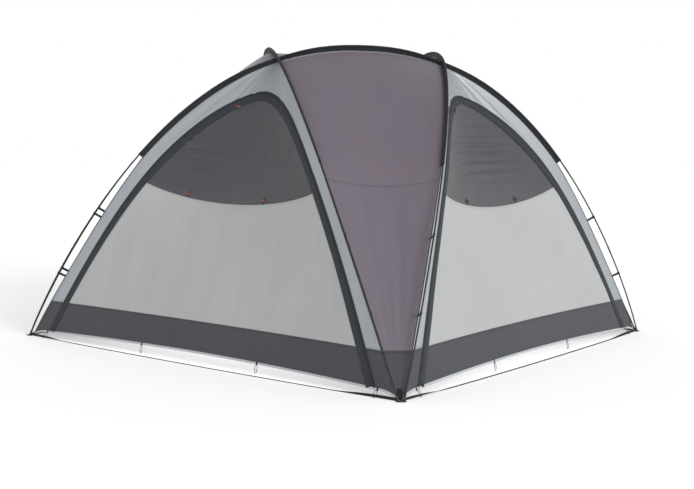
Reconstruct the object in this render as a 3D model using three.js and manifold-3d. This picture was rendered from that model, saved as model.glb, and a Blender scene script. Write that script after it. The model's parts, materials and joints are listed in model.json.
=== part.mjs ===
// A square screen house: four long bowed poles that cross in pairs above the middle of each side,
// a sewn canopy hung inside them from sleeves and clips, a zipped door with a mesh window in every
// side, a mud wall round the hem, and ground webbing from foot to foot.
// Millimetres, +Z up. The origin is on the ground under the middle of the roof, +X is the right
// side and +Y the back. Every piece is drawn facing -Y and then turned into its own place.

import * as THREE from 'three';
import * as BufferGeometryUtils from 'three/addons/utils/BufferGeometryUtils.js';
import Module from 'manifold-3d';

// ---------------------------------------------------------------- driving dimensions

const HALF_SPAN = 1750; // from the middle of the plan to a foot, along X and along Y
const POLE_RISE = 2260; // top of a pole's centre line
const POLE_LEAN = 0.28; // how far a pole leans sideways per unit of height
const POLE_CURVE = { power: 2.23, roundness: 0.918 }; // fullness of the bow
const POLE_DIAMETER = 11;
const POLE_END_HEIGHT = 9; // lower end of a pole, clear of its foot
const FOOT_SPREAD = 34; // between the two pole ends that share a foot

const CLOTH = 3; // thickness of every canopy panel
const EDGE_GAP = 4; // from a seam line to the edge of the panel beside it
const ZIP_GAP = 6; // between a door and the wall around it

const SLEEVE_DEPTH = 34; // from a pole's centre line down to the seam, where there is a sleeve
const SLEEVE_END_HEIGHT = 1430;
const SLEEVE_CLOTH = 1.4;
const SLEEVE_EASE = 1.1; // room between a pole and its sleeve
const SLEEVE_TIP_GAP = 5; // from the sleeve's lower edge to the seam
const CLIPPED_BELLY = 34; // how much further in the seam stands between the sleeve and the foot
const SEAM_AT_FOOT = 25; // from the pole in to the seam at the foot

const CLIP_HEIGHTS = [510, 980];
const CLIP_EASE = 0.5;
const CLIP_WALL = 2.5;
const CLIP_WIDTH = 20;
const CLIP_TAPE = 2.4; // thickness of the clip's tape
const CLIP_TAPE_GAP = 6; // from the end of the tape to the seam

const HEM_HEIGHT = 42; // the hem at the ends of a side
const HEM_LIFT = 28; // how much higher the hem is in the middle of a side
const HEM_INSET = 30; // the hem's middle lies this far inside the line between two feet
const MUD_WALL_HEIGHT = 280;
const SIDE_FULLNESS = 0.35; // how far a side follows the bow of its poles instead of a straight drop
const CORNER_DIP = 65; // how far the middle of a corner panel is drawn in

const DOOR_HEAD = 235; // wall above the top of a door
const DOOR_SIDE = 160; // wall beside a door, at the ground
const DOOR_ROUNDNESS = 0.59; // a smaller value gives a fuller arch
const DOOR_TOP_HALF = 15; // half of the short flat at the very top of a door
const WINDOW_SILL = 1095; // lowest point of the mesh window
const WINDOW_SAG = 140; // how much higher the window's lower corners are
const HINGE_HEIGHT = 700; // where the door's fold line touches the zip
const HINGE_LIFT = 2; // the fold line runs this far in front of the cloth

const SLIDER = { height: 120, length: 22, width: 13, thickness: 7, lift: 2.5 };
const SLIDER_TAB = { length: 46, width: 6, thickness: 2 };

const FOOT = { length: 66, width: 34, thickness: 5, corner: 10 };
const FOOT_TAB = { sideGap: 8, thickness: 3, gap: 4 }; // sideGap: narrower than the foot's spread
const PIN_DIAMETER = 6;
const PIN_LENGTH = 30;
const PIN_EASE = 0.6; // between a foot's pin and the bore in the pole's end

const WEBBING = { width: 20, thickness: 1.6, lift: 0.4, bow: 30, endGap: 42 };

const POLE_SIDES = 8;
const CROSSING_SPREAD = 0.09; // share of half a pole over which it lifts at a crossing
const CROSSING_CLEARANCE = 2; // between the sleeves of two poles that cross
const NOTCH_EASE = 8; // open length of an upper sleeve on each side of the sleeve that it crosses

const SIDES = ['front', 'right', 'back', 'left'];
const CORNERS = ['front_right', 'back_right', 'back_left', 'front_left'];

// ---------------------------------------------------------------- materials

function paint(color, roughness, metalness = 0) {
  return new THREE.MeshStandardMaterial({ color, roughness, metalness });
}

const MATERIALS = {
  fibreglass: paint('#1d1e20', 0.35),
  sleeveCloth: paint('#3f4044', 0.8),
  wallCloth: paint('#a9b0b5', 0.55),
  doorCloth: paint('#b2b4b5', 0.7),
  mesh: paint('#55565a', 0.8),
  cornerCloth: paint('#776f79', 0.75),
  mudWallCloth: paint('#54565a', 0.8),
  moulding: paint('#1a1a1c', 0.45),
  steel: paint('#8d9094', 0.35, 0.9),
  webbing: paint('#2a2b2d', 0.85),
};

// ---------------------------------------------------------------- small helpers

const { lerp } = THREE.MathUtils;

/** The numbers from first to last in equal steps, both ends included. */
function steps(first, last, count) {
  return Array.from({ length: count + 1 }, (_, i) => lerp(first, last, i / count));
}

/** Where a rising or falling function is zero, between low and high. */
function solve(f, low, high) {
  const rising = f(high) > f(low);
  let [below, above] = [low, high];
  for (let i = 0; i < 50; i++) {
    const middle = (below + above) / 2;
    if (f(middle) < 0 === rising) below = middle;
    else above = middle;
  }
  return (below + above) / 2;
}

function slope(f, x, step = 0.5) {
  return (f(x + step) - f(x - step)) / (2 * step);
}

const VERTICAL = new THREE.Vector3(0, 0, 1);
const turned = (vector, angle) => vector.clone().applyAxisAngle(VERTICAL, angle);

/** A closed solid from its corner points and triangles, with its faces pointing out. */
function solid(points, triangles) {
  let volume = 0;
  for (const [a, b, c] of triangles) {
    volume += points[a].dot(new THREE.Vector3().crossVectors(points[b], points[c]));
  }
  const outward = volume > 0 ? triangles : triangles.map(([a, b, c]) => [a, c, b]);
  const geometry = new THREE.BufferGeometry();
  const numbers = points.flatMap((p) => [p.x, p.y, p.z]);
  geometry.setAttribute('position', new THREE.Float32BufferAttribute(numbers, 3));
  geometry.setIndex(outward.flat());
  geometry.computeVertexNormals();
  return geometry;
}

/** Sweeps an outline, drawn anticlockwise, through stations of { origin, across, up, outline }. */
function sweep(stations) {
  const count = stations[0].outline.length;
  const points = [];
  for (const { origin, across, up, outline } of stations) {
    for (const { x, y } of outline) {
      points.push(origin.clone().addScaledVector(across, x).addScaledVector(up, y));
    }
  }
  const triangles = [];
  for (let i = 0; i + 1 < stations.length; i++) {
    for (let j = 0; j < count; j++) {
      const a = i * count + j;
      const b = i * count + ((j + 1) % count);
      triangles.push([a, b, b + count], [a, b + count, a + count]);
    }
  }
  const last = points.length - count;
  for (const [a, b, c] of THREE.ShapeUtils.triangulateShape(stations[0].outline, [])) {
    triangles.push([a, c, b]);
  }
  for (const [a, b, c] of THREE.ShapeUtils.triangulateShape(stations.at(-1).outline, [])) {
    triangles.push([last + a, last + b, last + c]);
  }
  return solid(points, triangles);
}

/** A sheet with thickness: rows of { point, normal }, the normals pointing out of the shelter. */
function sheet(rows) {
  const rowCount = rows.length;
  const columnCount = rows[0].length;
  const points = [];
  for (const depth of [0, CLOTH]) {
    for (const { point, normal } of rows.flat()) {
      points.push(point.clone().addScaledVector(normal, -depth));
    }
  }
  const at = (side, r, c) => (side * rowCount + r) * columnCount + c;
  const triangles = [];
  const quad = (a, b, c, d) => triangles.push([a, b, c], [a, c, d]);
  for (let r = 0; r + 1 < rowCount; r++) {
    for (let c = 0; c + 1 < columnCount; c++) {
      quad(at(0, r, c), at(0, r, c + 1), at(0, r + 1, c + 1), at(0, r + 1, c));
      quad(at(1, r, c), at(1, r + 1, c), at(1, r + 1, c + 1), at(1, r, c + 1));
    }
  }
  const top = rowCount - 1;
  const end = columnCount - 1;
  for (let c = 0; c < end; c++) {
    quad(at(1, 0, c), at(1, 0, c + 1), at(0, 0, c + 1), at(0, 0, c));
    quad(at(0, top, c), at(0, top, c + 1), at(1, top, c + 1), at(1, top, c));
  }
  for (let r = 0; r < top; r++) {
    quad(at(0, r, 0), at(0, r + 1, 0), at(1, r + 1, 0), at(1, r, 0));
    quad(at(1, r, end), at(1, r + 1, end), at(0, r + 1, end), at(0, r, end));
  }
  return solid(points, triangles);
}

const wasm = await Module();
wasm.setup();

function toManifold(geometry) {
  const bare = new THREE.BufferGeometry();
  bare.setAttribute('position', geometry.getAttribute('position').clone());
  if (geometry.index) bare.setIndex(geometry.index.clone());
  const merged = BufferGeometryUtils.mergeVertices(bare, 1e-4);
  const vertProperties = new Float32Array(merged.getAttribute('position').array);
  const triVerts = new Uint32Array(merged.index.array);
  return new wasm.Manifold(new wasm.Mesh({ numProp: 3, vertProperties, triVerts }));
}

function fromManifold(manifold) {
  const { vertProperties, triVerts } = manifold.getMesh();
  const geometry = new THREE.BufferGeometry();
  geometry.setAttribute('position', new THREE.BufferAttribute(vertProperties, 3));
  geometry.setIndex(new THREE.BufferAttribute(triVerts, 1));
  geometry.computeVertexNormals();
  return geometry;
}

function join(geometries) {
  return fromManifold(geometries.map(toManifold).reduce((sum, next) => sum.add(next)));
}

function cut(geometry, tools) {
  return fromManifold(tools.map(toManifold).reduce((rest, tool) => rest.subtract(tool), toManifold(geometry)));
}

/** A round rod between two points. */
function rod(from, to, diameter, sides = 8) {
  const direction = new THREE.Vector3().subVectors(to, from);
  const geometry = new THREE.CylinderGeometry(diameter / 2, diameter / 2, direction.length(), sides);
  const turn = new THREE.Quaternion().setFromUnitVectors(new THREE.Vector3(0, 1, 0), direction.normalize());
  geometry.applyQuaternion(turn);
  const middle = new THREE.Vector3().addVectors(from, to).multiplyScalar(0.5);
  return geometry.translate(middle.x, middle.y, middle.z);
}

/** Puts a geometry that was drawn on X, Y and Z on three other axes. */
function place(geometry, origin, xAxis, yAxis, zAxis) {
  return geometry.applyMatrix4(new THREE.Matrix4().makeBasis(xAxis, yAxis, zAxis).setPosition(origin));
}

// ---------------------------------------------------------------- the line of a pole
// A pole bows in its own plane, which leans towards one corner. Drawn facing -Y it runs along X,
// and s goes from -1 at one foot to 1 at the other.

const HALF_DIAGONAL = HALF_SPAN * Math.SQRT2;
const OFF_PLANE = new THREE.Vector3(0, -1, -POLE_LEAN).normalize();

function bow(s) {
  const z = POLE_RISE * Math.max(0, 1 - Math.abs(s) ** POLE_CURVE.power) ** POLE_CURVE.roundness;
  return new THREE.Vector3(s * HALF_DIAGONAL, -(FOOT_SPREAD / 2 + POLE_LEAN * z), z);
}

/** A point of the pole's line, with the line's direction and the direction out of the bow. */
function bowFrame(s) {
  const reach = 0.0005;
  const tangent = bow(Math.min(1, s + reach)).sub(bow(Math.max(-1, s - reach))).normalize();
  const outward = new THREE.Vector3().crossVectors(OFF_PLANE, tangent).normalize();
  return { point: bow(s), tangent, outward };
}

/** How far in from the pole the canopy's seam is, at a height on the pole. */
function seamDepth(z) {
  const share = Math.min(1, z / SLEEVE_END_HEIGHT);
  return lerp(SEAM_AT_FOOT, SLEEVE_DEPTH, share) + CLIPPED_BELLY * Math.sin(Math.PI * share);
}

/** The seam inside a pole: along is measured along the pole's span, aside is its lean. */
function seam(s) {
  const { point, outward } = bowFrame(s);
  point.addScaledVector(outward, -seamDepth(point.z));
  return { along: point.x, aside: -point.y, z: point.z };
}

/** The seam at a height, on one leg of a pole. */
function seamAt(z) {
  return seam(solve((s) => seam(s).z - z, 0.05, 1));
}

const SEAM_CROSSING = seam(solve((s) => seam(s).along - seam(s).aside, 0.05, 0.9));
const CROSSING_S = solve((s) => bow(s).x + bow(s).y, 0.05, 0.9);

const SLEEVE_BORE = POLE_DIAMETER / 2 + SLEEVE_EASE;
const SLEEVE_RADIUS = SLEEVE_BORE + SLEEVE_CLOTH;
const CROSSING_LIFT = SLEEVE_RADIUS + CROSSING_CLEARANCE / 2;

/** The pole's own frame: at a crossing it is lifted, or pressed down, out of its plain line. */
function poleFrame(s, above) {
  const frame = bowFrame(s);
  const distance = (Math.abs(s) - CROSSING_S) / CROSSING_SPREAD;
  const lift = (above ? 1 : -1) * CROSSING_LIFT * Math.exp(-distance * distance);
  frame.point.addScaledVector(frame.outward, lift);
  return { ...frame, lift };
}

// ---------------------------------------------------------------- poles and sleeves

const clipStation = (height) => solve((s) => bow(s).z - height, 0.05, 1);
const SLEEVE_END_S = solve((s) => bow(s).z - SLEEVE_END_HEIGHT, 0.05, 1);
const POLE_END_S = solve((s) => bow(s).z - POLE_END_HEIGHT, 0.05, 1);
const NOTCH_S = (SLEEVE_RADIUS + NOTCH_EASE) / HALF_DIAGONAL;
const NOTCH_FLANK_S = 0.002;

/** A sleeve's rings: even steps, and close ones at the two crossings. */
function sleeveStations() {
  const flank = NOTCH_S + NOTCH_FLANK_S;
  const close = [-flank, -NOTCH_S, 0, NOTCH_S, flank].map((offset) => CROSSING_S + offset);
  const even = steps(0, SLEEVE_END_S, 9).filter((s) => Math.abs(s - CROSSING_S) > 2 * flank);
  const half = [...even, ...close].sort((a, b) => a - b);
  return [...half.slice(1).map((s) => -s).reverse(), ...half];
}

/** A pole has a ring at each of its sleeve's and at each clip, so that they follow it exactly. */
function poleStations() {
  const clips = CLIP_HEIGHTS.map(clipStation);
  const leg = [...steps(SLEEVE_END_S, POLE_END_S, 6).slice(1), ...clips].sort((a, b) => a - b);
  return [...leg.map((s) => -s).reverse(), ...sleeveStations(), ...leg];
}

/** A long fibreglass pole, with a bore in each end for the foot's pin. */
function makePole(above) {
  const outline = Array.from({ length: POLE_SIDES }, (_, i) => {
    const angle = (2 * Math.PI * (i + 0.5)) / POLE_SIDES;
    return new THREE.Vector2(Math.cos(angle), Math.sin(angle)).multiplyScalar(POLE_DIAMETER / 2);
  });
  const stations = poleStations().map((s) => {
    const { point, outward } = poleFrame(s, above);
    return { origin: point, across: OFF_PLANE, up: outward, outline };
  });
  const bores = [-1, 1].map((end) => {
    const { point, tangent } = bowFrame(end * POLE_END_S);
    const mouth = point.clone().addScaledVector(tangent, end * PIN_DIAMETER);
    const bottom = point.clone().addScaledVector(tangent, -end * (PIN_LENGTH + 2));
    return rod(mouth, bottom, PIN_DIAMETER + 2 * PIN_EASE);
  });
  return cut(sweep(stations), bores);
}

/** A strip of cloth folded over the pole, with its two edges hanging down side by side. */
function sleeveOutline(depth) {
  const slit = 0.3;
  const turns = steps(-60, 240, 5).map(THREE.MathUtils.degToRad);
  const arc = (radius) => turns.map((a) => new THREE.Vector2(radius * Math.cos(a), radius * Math.sin(a)));
  return [
    new THREE.Vector2(slit + SLEEVE_CLOTH, -depth),
    ...arc(SLEEVE_RADIUS),
    new THREE.Vector2(-slit - SLEEVE_CLOTH, -depth),
    new THREE.Vector2(-slit, -depth),
    ...arc(SLEEVE_BORE).reverse(),
    new THREE.Vector2(slit, -depth),
  ];
}

/** A sleeve. The upper one is cut short where it passes over the lower one. */
function makeSleeve(above) {
  const stations = sleeveStations().map((s) => {
    const { point, outward, lift } = poleFrame(s, above);
    const inNotch = above && Math.abs(Math.abs(s) - CROSSING_S) < NOTCH_S + NOTCH_FLANK_S / 2;
    const depth = inNotch ? SLEEVE_RADIUS : SLEEVE_DEPTH - SLEEVE_TIP_GAP + lift;
    return { origin: point, across: OFF_PLANE, up: outward, outline: sleeveOutline(depth) };
  });
  return sweep(stations);
}

// ---------------------------------------------------------------- clips

/** A hook round the pole with a tape to the canopy's seam, for one leg of one pole. */
function makeClip(height, leg) {
  const s = -leg * clipStation(height);
  const { point, tangent, outward } = bowFrame(s);
  const bore = POLE_DIAMETER / 2 + CLIP_EASE;
  const rim = bore + CLIP_WALL;
  const reach = seamDepth(height) - CLIP_TAPE_GAP;
  const tapeAngle = Math.asin(CLIP_TAPE / 2 / rim);
  const mouth = THREE.MathUtils.degToRad(285);
  const shape = new THREE.Shape();
  shape.moveTo(reach, -CLIP_TAPE / 2);
  shape.lineTo(reach, CLIP_TAPE / 2);
  for (const a of steps(tapeAngle, mouth, 7)) shape.lineTo(rim * Math.cos(a), rim * Math.sin(a));
  for (const a of steps(mouth, -tapeAngle, 7)) shape.lineTo(bore * Math.cos(a), bore * Math.sin(a));
  shape.lineTo(rim * Math.cos(tapeAngle), -rim * Math.sin(tapeAngle));
  const geometry = new THREE.ExtrudeGeometry(shape, { depth: CLIP_WIDTH, bevelEnabled: false });
  geometry.translate(0, 0, -CLIP_WIDTH / 2);
  const inward = outward.clone().negate();
  place(geometry, point, inward, new THREE.Vector3().crossVectors(tangent, inward), tangent);
  return geometry.rotateZ((leg * Math.PI) / 2);
}

// ---------------------------------------------------------------- the surface of a side
// A side faces -Y. It hangs between two seams and is drawn in towards its hem and its middle.

/** Half of a side's width at a height, and how far out its edge is. */
function sideEdge(z) {
  const { along, aside } = seamAt(z);
  return { half: (along - aside) / Math.SQRT2, out: (along + aside) / Math.SQRT2 };
}

const SIDE_TOP = { z: SEAM_CROSSING.z, out: SEAM_CROSSING.along * Math.SQRT2 };
const HEM_OUT = HALF_SPAN - HEM_INSET;

function sidePoint(x, z) {
  const { half, out } = sideEdge(z);
  const drop = lerp(HEM_OUT, SIDE_TOP.out, z / SIDE_TOP.z);
  const middle = lerp(drop, out, SIDE_FULLNESS);
  const share = half > 1 ? Math.min(1, Math.abs(x) / half) : 1;
  return new THREE.Vector3(x, -lerp(middle, out, share * share), z);
}

function sideNormal(x, z) {
  const reach = 2;
  const low = Math.min(z, SIDE_TOP.z - 4 * reach);
  const near = Math.sign(x) * Math.min(Math.abs(x), sideEdge(low).half - 2 * reach);
  const across = sidePoint(near + reach, low).sub(sidePoint(near - reach, low));
  const upward = sidePoint(near, low + reach).sub(sidePoint(near, low - reach));
  return new THREE.Vector3().crossVectors(across, upward).normalize();
}

const sideVertex = (x, z) => ({ point: sidePoint(x, z), normal: sideNormal(x, z) });

/** Half of the wall's width: the side's, less the gap to the seam. */
function wallHalf(z) {
  return sideEdge(z).half - EDGE_GAP * Math.hypot(1, slope((h) => sideEdge(h).half, z));
}

const WALL_TOP = solve(wallHalf, MUD_WALL_HEIGHT, SIDE_TOP.z - 1);
const DOOR_TOP = SIDE_TOP.z - DOOR_HEAD;
const DOOR_FOOT_HALF = sideEdge(0).half - DOOR_SIDE;

/** Half of the width between the two legs of the zip. */
function zipHalf(z) {
  return DOOR_FOOT_HALF * Math.max(0, 1 - z / DOOR_TOP) ** DOOR_ROUNDNESS;
}

/** The zip's line, offset outwards or inwards: t goes from -1 at one foot over the top to 1. */
function zipLine(t, bottom, offset) {
  const line = (u) => {
    const z = bottom + (DOOR_TOP - bottom) * (1 - Math.abs(u) ** 1.7);
    return new THREE.Vector2(Math.sign(u) * zipHalf(z), z);
  };
  const reach = 0.01;
  const along = line(Math.min(1, t + reach)).sub(line(Math.max(-1, t - reach))).normalize();
  return line(t).add(new THREE.Vector2(-along.y, along.x).multiplyScalar(offset));
}

/** The wall round a door: an arch of cloth from mud wall to mud wall. */
function makeWall() {
  const bottom = MUD_WALL_HEIGHT + EDGE_GAP;
  const rows = steps(-1, 1, 24).map((t) => {
    const inner = zipLine(t, bottom, ZIP_GAP / 2);
    const outerZ = bottom + (WALL_TOP - bottom) * (1 - Math.abs(t) ** 1.7);
    const outer = new THREE.Vector2(Math.sign(t) * wallHalf(outerZ), outerZ);
    if (Math.abs(t) === 1) inner.y = bottom;
    return steps(0, 1, 2).map((share) => {
      const { x, y } = inner.clone().lerp(outer, share);
      return sideVertex(x, y);
    });
  });
  return sheet(rows);
}

/** Half of a door's width: the zip's, less half of the gap. */
function doorHalf(z) {
  return zipHalf(z) - (ZIP_GAP / 2) * Math.hypot(1, slope(zipHalf, z));
}

const DOOR_LEAF_TOP = solve((z) => doorHalf(z) - DOOR_TOP_HALF, MUD_WALL_HEIGHT, DOOR_TOP - 1);
const hem = (share) => HEM_HEIGHT + HEM_LIFT * (1 - share * share);
const sill = (share) => WINDOW_SILL + WINDOW_SAG * share * share;

/** The lower, solid part of a door, with its share of the mud wall. */
function makeDoor() {
  const rows = steps(0, 1, 5).map((rowShare) =>
    steps(-1, 1, 10).map((share) => {
      const z = lerp(hem(share), sill(share), rowShare);
      return sideVertex(share * doorHalf(z), z);
    }),
  );
  return sheet(rows);
}

/** The mesh window above it. */
function makeDoorMesh() {
  const rows = steps(0, 1, 6).map((step) =>
    steps(-1, 1, 8).map((share) => {
      const z = lerp(sill(share) + EDGE_GAP, DOOR_LEAF_TOP, 1 - (1 - step) ** 1.7);
      return sideVertex(share * doorHalf(z), z);
    }),
  );
  return sheet(rows);
}

/** A door's fold line, beside the left leg of its zip; the door opens outwards about it. */
function doorHinge() {
  const at = (z) => sidePoint(-zipHalf(z), z);
  const axis = at(HINGE_HEIGHT - 1).sub(at(HINGE_HEIGHT + 1)).normalize();
  const normal = sideNormal(-zipHalf(HINGE_HEIGHT), HINGE_HEIGHT);
  return { kind: 'hinge', point: at(HINGE_HEIGHT).addScaledVector(normal, HINGE_LIFT), axis };
}

// ---------------------------------------------------------------- zip sliders

/** The line along which a slider starts up the free, right leg of its zip. */
function slideLine() {
  const at = (z) => sidePoint(zipHalf(z), z);
  const axis = at(SLIDER.height + 1).sub(at(SLIDER.height - 1)).normalize();
  return { kind: 'slide', point: at(SLIDER.height), axis };
}

/** A slider with its pull tab hanging along the zip. */
function makeSlider() {
  const { point: origin, axis: upward } = slideLine();
  const outward = sideNormal(zipHalf(SLIDER.height), SLIDER.height);
  const across = new THREE.Vector3().crossVectors(upward, outward).normalize();
  outward.crossVectors(across, upward);
  const body = new THREE.BoxGeometry(SLIDER.width, SLIDER.length, SLIDER.thickness);
  body.translate(0, 0, SLIDER.lift + SLIDER.thickness / 2);
  const tab = new THREE.BoxGeometry(SLIDER_TAB.width, SLIDER_TAB.length, SLIDER_TAB.thickness);
  const overlap = SLIDER.length / 2;
  tab.translate(0, -overlap - SLIDER_TAB.length / 2 + 4, SLIDER.lift + SLIDER.thickness - SLIDER_TAB.thickness);
  return place(join([body, tab]), origin, across, upward, outward);
}

// ---------------------------------------------------------------- the surface of a corner
// A corner also faces -Y here. It hangs between two legs that share a foot, from the bow of the
// pole that leans over it.

const archSeam = (along) => seam(solve((s) => seam(s).along - along, -0.9, 0.9));

function cornerPoint(share, height) {
  const { along, aside } = seamAt(height);
  const top = archSeam(share * SEAM_CROSSING.along);
  const level = Math.max(0, height / SEAM_CROSSING.z);
  const crown = level ** 4;
  const dip = CORNER_DIP * Math.sin(Math.PI * Math.min(1, level)) * (1 - share * share);
  const out = along - dip + crown * (top.aside - SEAM_CROSSING.along);
  return new THREE.Vector3(share * aside, -out, height + crown * (top.z - SEAM_CROSSING.z));
}

function cornerVertex(share, height) {
  const reach = 2;
  const level = Math.min(height, SEAM_CROSSING.z - 2 * reach);
  const across = cornerPoint(share + 0.02, level).sub(cornerPoint(share - 0.02, level));
  const upward = cornerPoint(share, level + reach).sub(cornerPoint(share, level - reach));
  const normal = new THREE.Vector3().crossVectors(across, upward).normalize();
  return { point: cornerPoint(share, height), normal };
}

/** The wedge-shaped panel over a corner. */
function makeCornerPanel() {
  const top = SEAM_CROSSING.z - EDGE_GAP / 2;
  const rows = steps(0, 1, 10).map((step) => {
    const height = lerp(MUD_WALL_HEIGHT + EDGE_GAP, top, 1 - (1 - step) ** 1.5);
    const edge = 1 - (EDGE_GAP * 1.05) / seamAt(height).aside;
    return steps(-edge, edge, 6).map((share) => cornerVertex(share, height));
  });
  return sheet(rows);
}

/** The mud wall round a corner, from the zip of one door to the zip of the next. */
function makeMudWall() {
  const rows = steps(0, 1, 2).map((step) => {
    const z = lerp(HEM_HEIGHT, MUD_WALL_HEIGHT, step);
    const inner = zipHalf(z) + (ZIP_GAP / 2) * Math.hypot(1, slope(zipHalf, z));
    const half = sideEdge(z).half;
    const side = (direction) =>
      steps(inner, half, 3).map((x) => {
        const { point, normal } = sideVertex(direction * x, z);
        const angle = (-direction * Math.PI) / 4;
        return { point: turned(point, angle), normal: turned(normal, angle) };
      });
    const corner = [-1, 0, 1].map((share) => cornerVertex(share, z));
    const left = side(1);
    const right = side(-1).reverse();
    corner[0].normal.add(left.at(-1).normal).normalize();
    corner[2].normal.add(right[0].normal).normalize();
    return [...left.slice(0, -1), ...corner, ...right.slice(1)];
  });
  return sheet(rows);
}

// ---------------------------------------------------------------- roof

/** The roof: a square between the four bows, its corners at the crossings. */
function makeRoof() {
  const corner = SEAM_CROSSING.along;
  const limit = 1 - EDGE_GAP / corner;
  const bowOut = (share) => archSeam(share * corner).aside - corner;
  const rise = (share) => archSeam(share * corner).z - SEAM_CROSSING.z;
  const point = (a, b) => {
    const z = SEAM_CROSSING.z + (rise(a) * (1 + 2 * b * b)) / 3 + (rise(b) * (1 + 2 * a * a)) / 3;
    return new THREE.Vector3(a * (corner + bowOut(b)), b * (corner + bowOut(a)), z);
  };
  const rows = steps(-limit, limit, 8).map((b) =>
    steps(-limit, limit, 8).map((a) => ({ point: point(a, b), normal: VERTICAL })),
  );
  return sheet(rows);
}

// ---------------------------------------------------------------- feet and ground webbing

/** A foot: a steel plate on the ground, a pin for each pole end, and a tab up to the hem. */
function makeFoot() {
  const { length, width, thickness, corner } = FOOT;
  const [x, y] = [length / 2, width / 2];
  const plate = new THREE.Shape();
  plate.moveTo(-x + corner, -y).lineTo(x - corner, -y).lineTo(x, -y + corner).lineTo(x, y - corner);
  plate.lineTo(x - corner, y).lineTo(-x + corner, y).lineTo(-x, y - corner).lineTo(-x, -y + corner);
  const base = new THREE.ExtrudeGeometry(plate, { depth: thickness, bevelEnabled: false });
  base.translate(0, -HALF_DIAGONAL, 0);
  const pins = [-1, 1].map((leg) => {
    const { point, tangent } = bowFrame(POLE_END_S);
    const foot = point.clone().addScaledVector(tangent, (POLE_END_HEIGHT - thickness / 2) / -tangent.z);
    const tip = point.clone().addScaledVector(tangent, -PIN_LENGTH);
    const toCorner = (p) => new THREE.Vector3(-leg * p.y, -p.x, p.z);
    return rod(toCorner(foot), toCorner(tip), PIN_DIAMETER);
  });
  const hemPoint = cornerPoint(0, HEM_HEIGHT);
  const start = new THREE.Vector3(0, -HALF_DIAGONAL, thickness * 0.7);
  const end = hemPoint.clone().add(new THREE.Vector3(0, -CLOTH / 2, -FOOT_TAB.gap));
  const upward = new THREE.Vector3().subVectors(end, start);
  const tab = new THREE.BoxGeometry(FOOT_SPREAD - FOOT_TAB.sideGap, upward.length(), FOOT_TAB.thickness);
  const middle = new THREE.Vector3().addVectors(start, end).multiplyScalar(0.5);
  upward.normalize();
  const side = new THREE.Vector3(1, 0, 0);
  place(tab, middle, side, upward, new THREE.Vector3().crossVectors(side, upward));
  return join([base, ...pins, tab]);
}

/** Webbing on the ground between two feet, bowed slightly outwards. */
function makeWebbing() {
  const end = HALF_SPAN - WEBBING.endGap;
  const [x, z] = [WEBBING.width / 2, WEBBING.thickness / 2];
  const outline = [[-x, -z], [x, -z], [x, z], [-x, z]].map(([a, b]) => new THREE.Vector2(a, b));
  const stations = steps(-1, 1, 12).map((share) => {
    const out = HALF_SPAN + WEBBING.bow * (1 - share * share);
    const origin = new THREE.Vector3(share * end, -out, WEBBING.lift + z);
    return { origin, across: new THREE.Vector3(0, 1, 0), up: VERTICAL, outline };
  });
  return sweep(stations);
}

// ---------------------------------------------------------------- assembly

const shelter = new THREE.Group();

/** Adds a piece, turned to its side or corner. A moving piece keeps its joint's line with it. */
function add(name, geometry, material, angle, joint) {
  const mesh = new THREE.Mesh(geometry, material);
  mesh.name = name;
  mesh.rotation.z = angle;
  if (joint) {
    mesh.userData.joint = { kind: joint.kind, point: turned(joint.point, angle), axis: turned(joint.axis, angle) };
  }
  shelter.add(mesh);
}

SIDES.forEach((side, i) => {
  const angle = (i * Math.PI) / 2;
  add(`${side}_wall`, makeWall(), MATERIALS.wallCloth, angle);
  add(`${side}_door`, makeDoor(), MATERIALS.doorCloth, angle, doorHinge());
  add(`${side}_door_mesh`, makeDoorMesh(), MATERIALS.mesh, angle);
  add(`${side}_zip_slider`, makeSlider(), MATERIALS.steel, angle, slideLine());
  add(`${side}_ground_webbing`, makeWebbing(), MATERIALS.webbing, angle);
});

CORNERS.forEach((corner, i) => {
  const angle = Math.PI / 4 + (i * Math.PI) / 2;
  const above = i % 2 === 1;
  add(`${corner}_pole`, makePole(above), MATERIALS.fibreglass, angle);
  add(`${corner}_sleeve`, makeSleeve(above), MATERIALS.sleeveCloth, angle);
  add(`${corner}_panel`, makeCornerPanel(), MATERIALS.cornerCloth, angle);
  add(`${corner}_mud_wall`, makeMudWall(), MATERIALS.mudWallCloth, angle);
  add(`${corner}_foot`, makeFoot(), MATERIALS.steel, angle);
  for (const leg of [-1, 1]) {
    CLIP_HEIGHTS.forEach((height, level) => {
      const name = `${corner}_clip_${leg < 0 ? 'left' : 'right'}_${level < 1 ? 'lower' : 'upper'}`;
      add(name, makeClip(height, leg), MATERIALS.moulding, angle);
    });
  }
});

add('roof', makeRoof(), MATERIALS.cornerCloth, Math.PI / 4);

export default shelter;
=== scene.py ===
# %% [markdown]
# A screen house is a square tent with no floor, for a table and chairs. Four long fibreglass
# poles bow from foot to foot. Each one leans out over a corner, so that neighbouring poles cross
# above the middle of every side. A sewn canopy hangs inside the poles: from sleeves at the top,
# and from clips lower down. Every side has a zipped door with a mesh window.
# The frame comes from the CAD model and stays where it is. This lesson dresses it.

# %% Load the frame
import json
import math

import bmesh
import bpy
import numpy as np
from mathutils import Matrix, Vector


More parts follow.
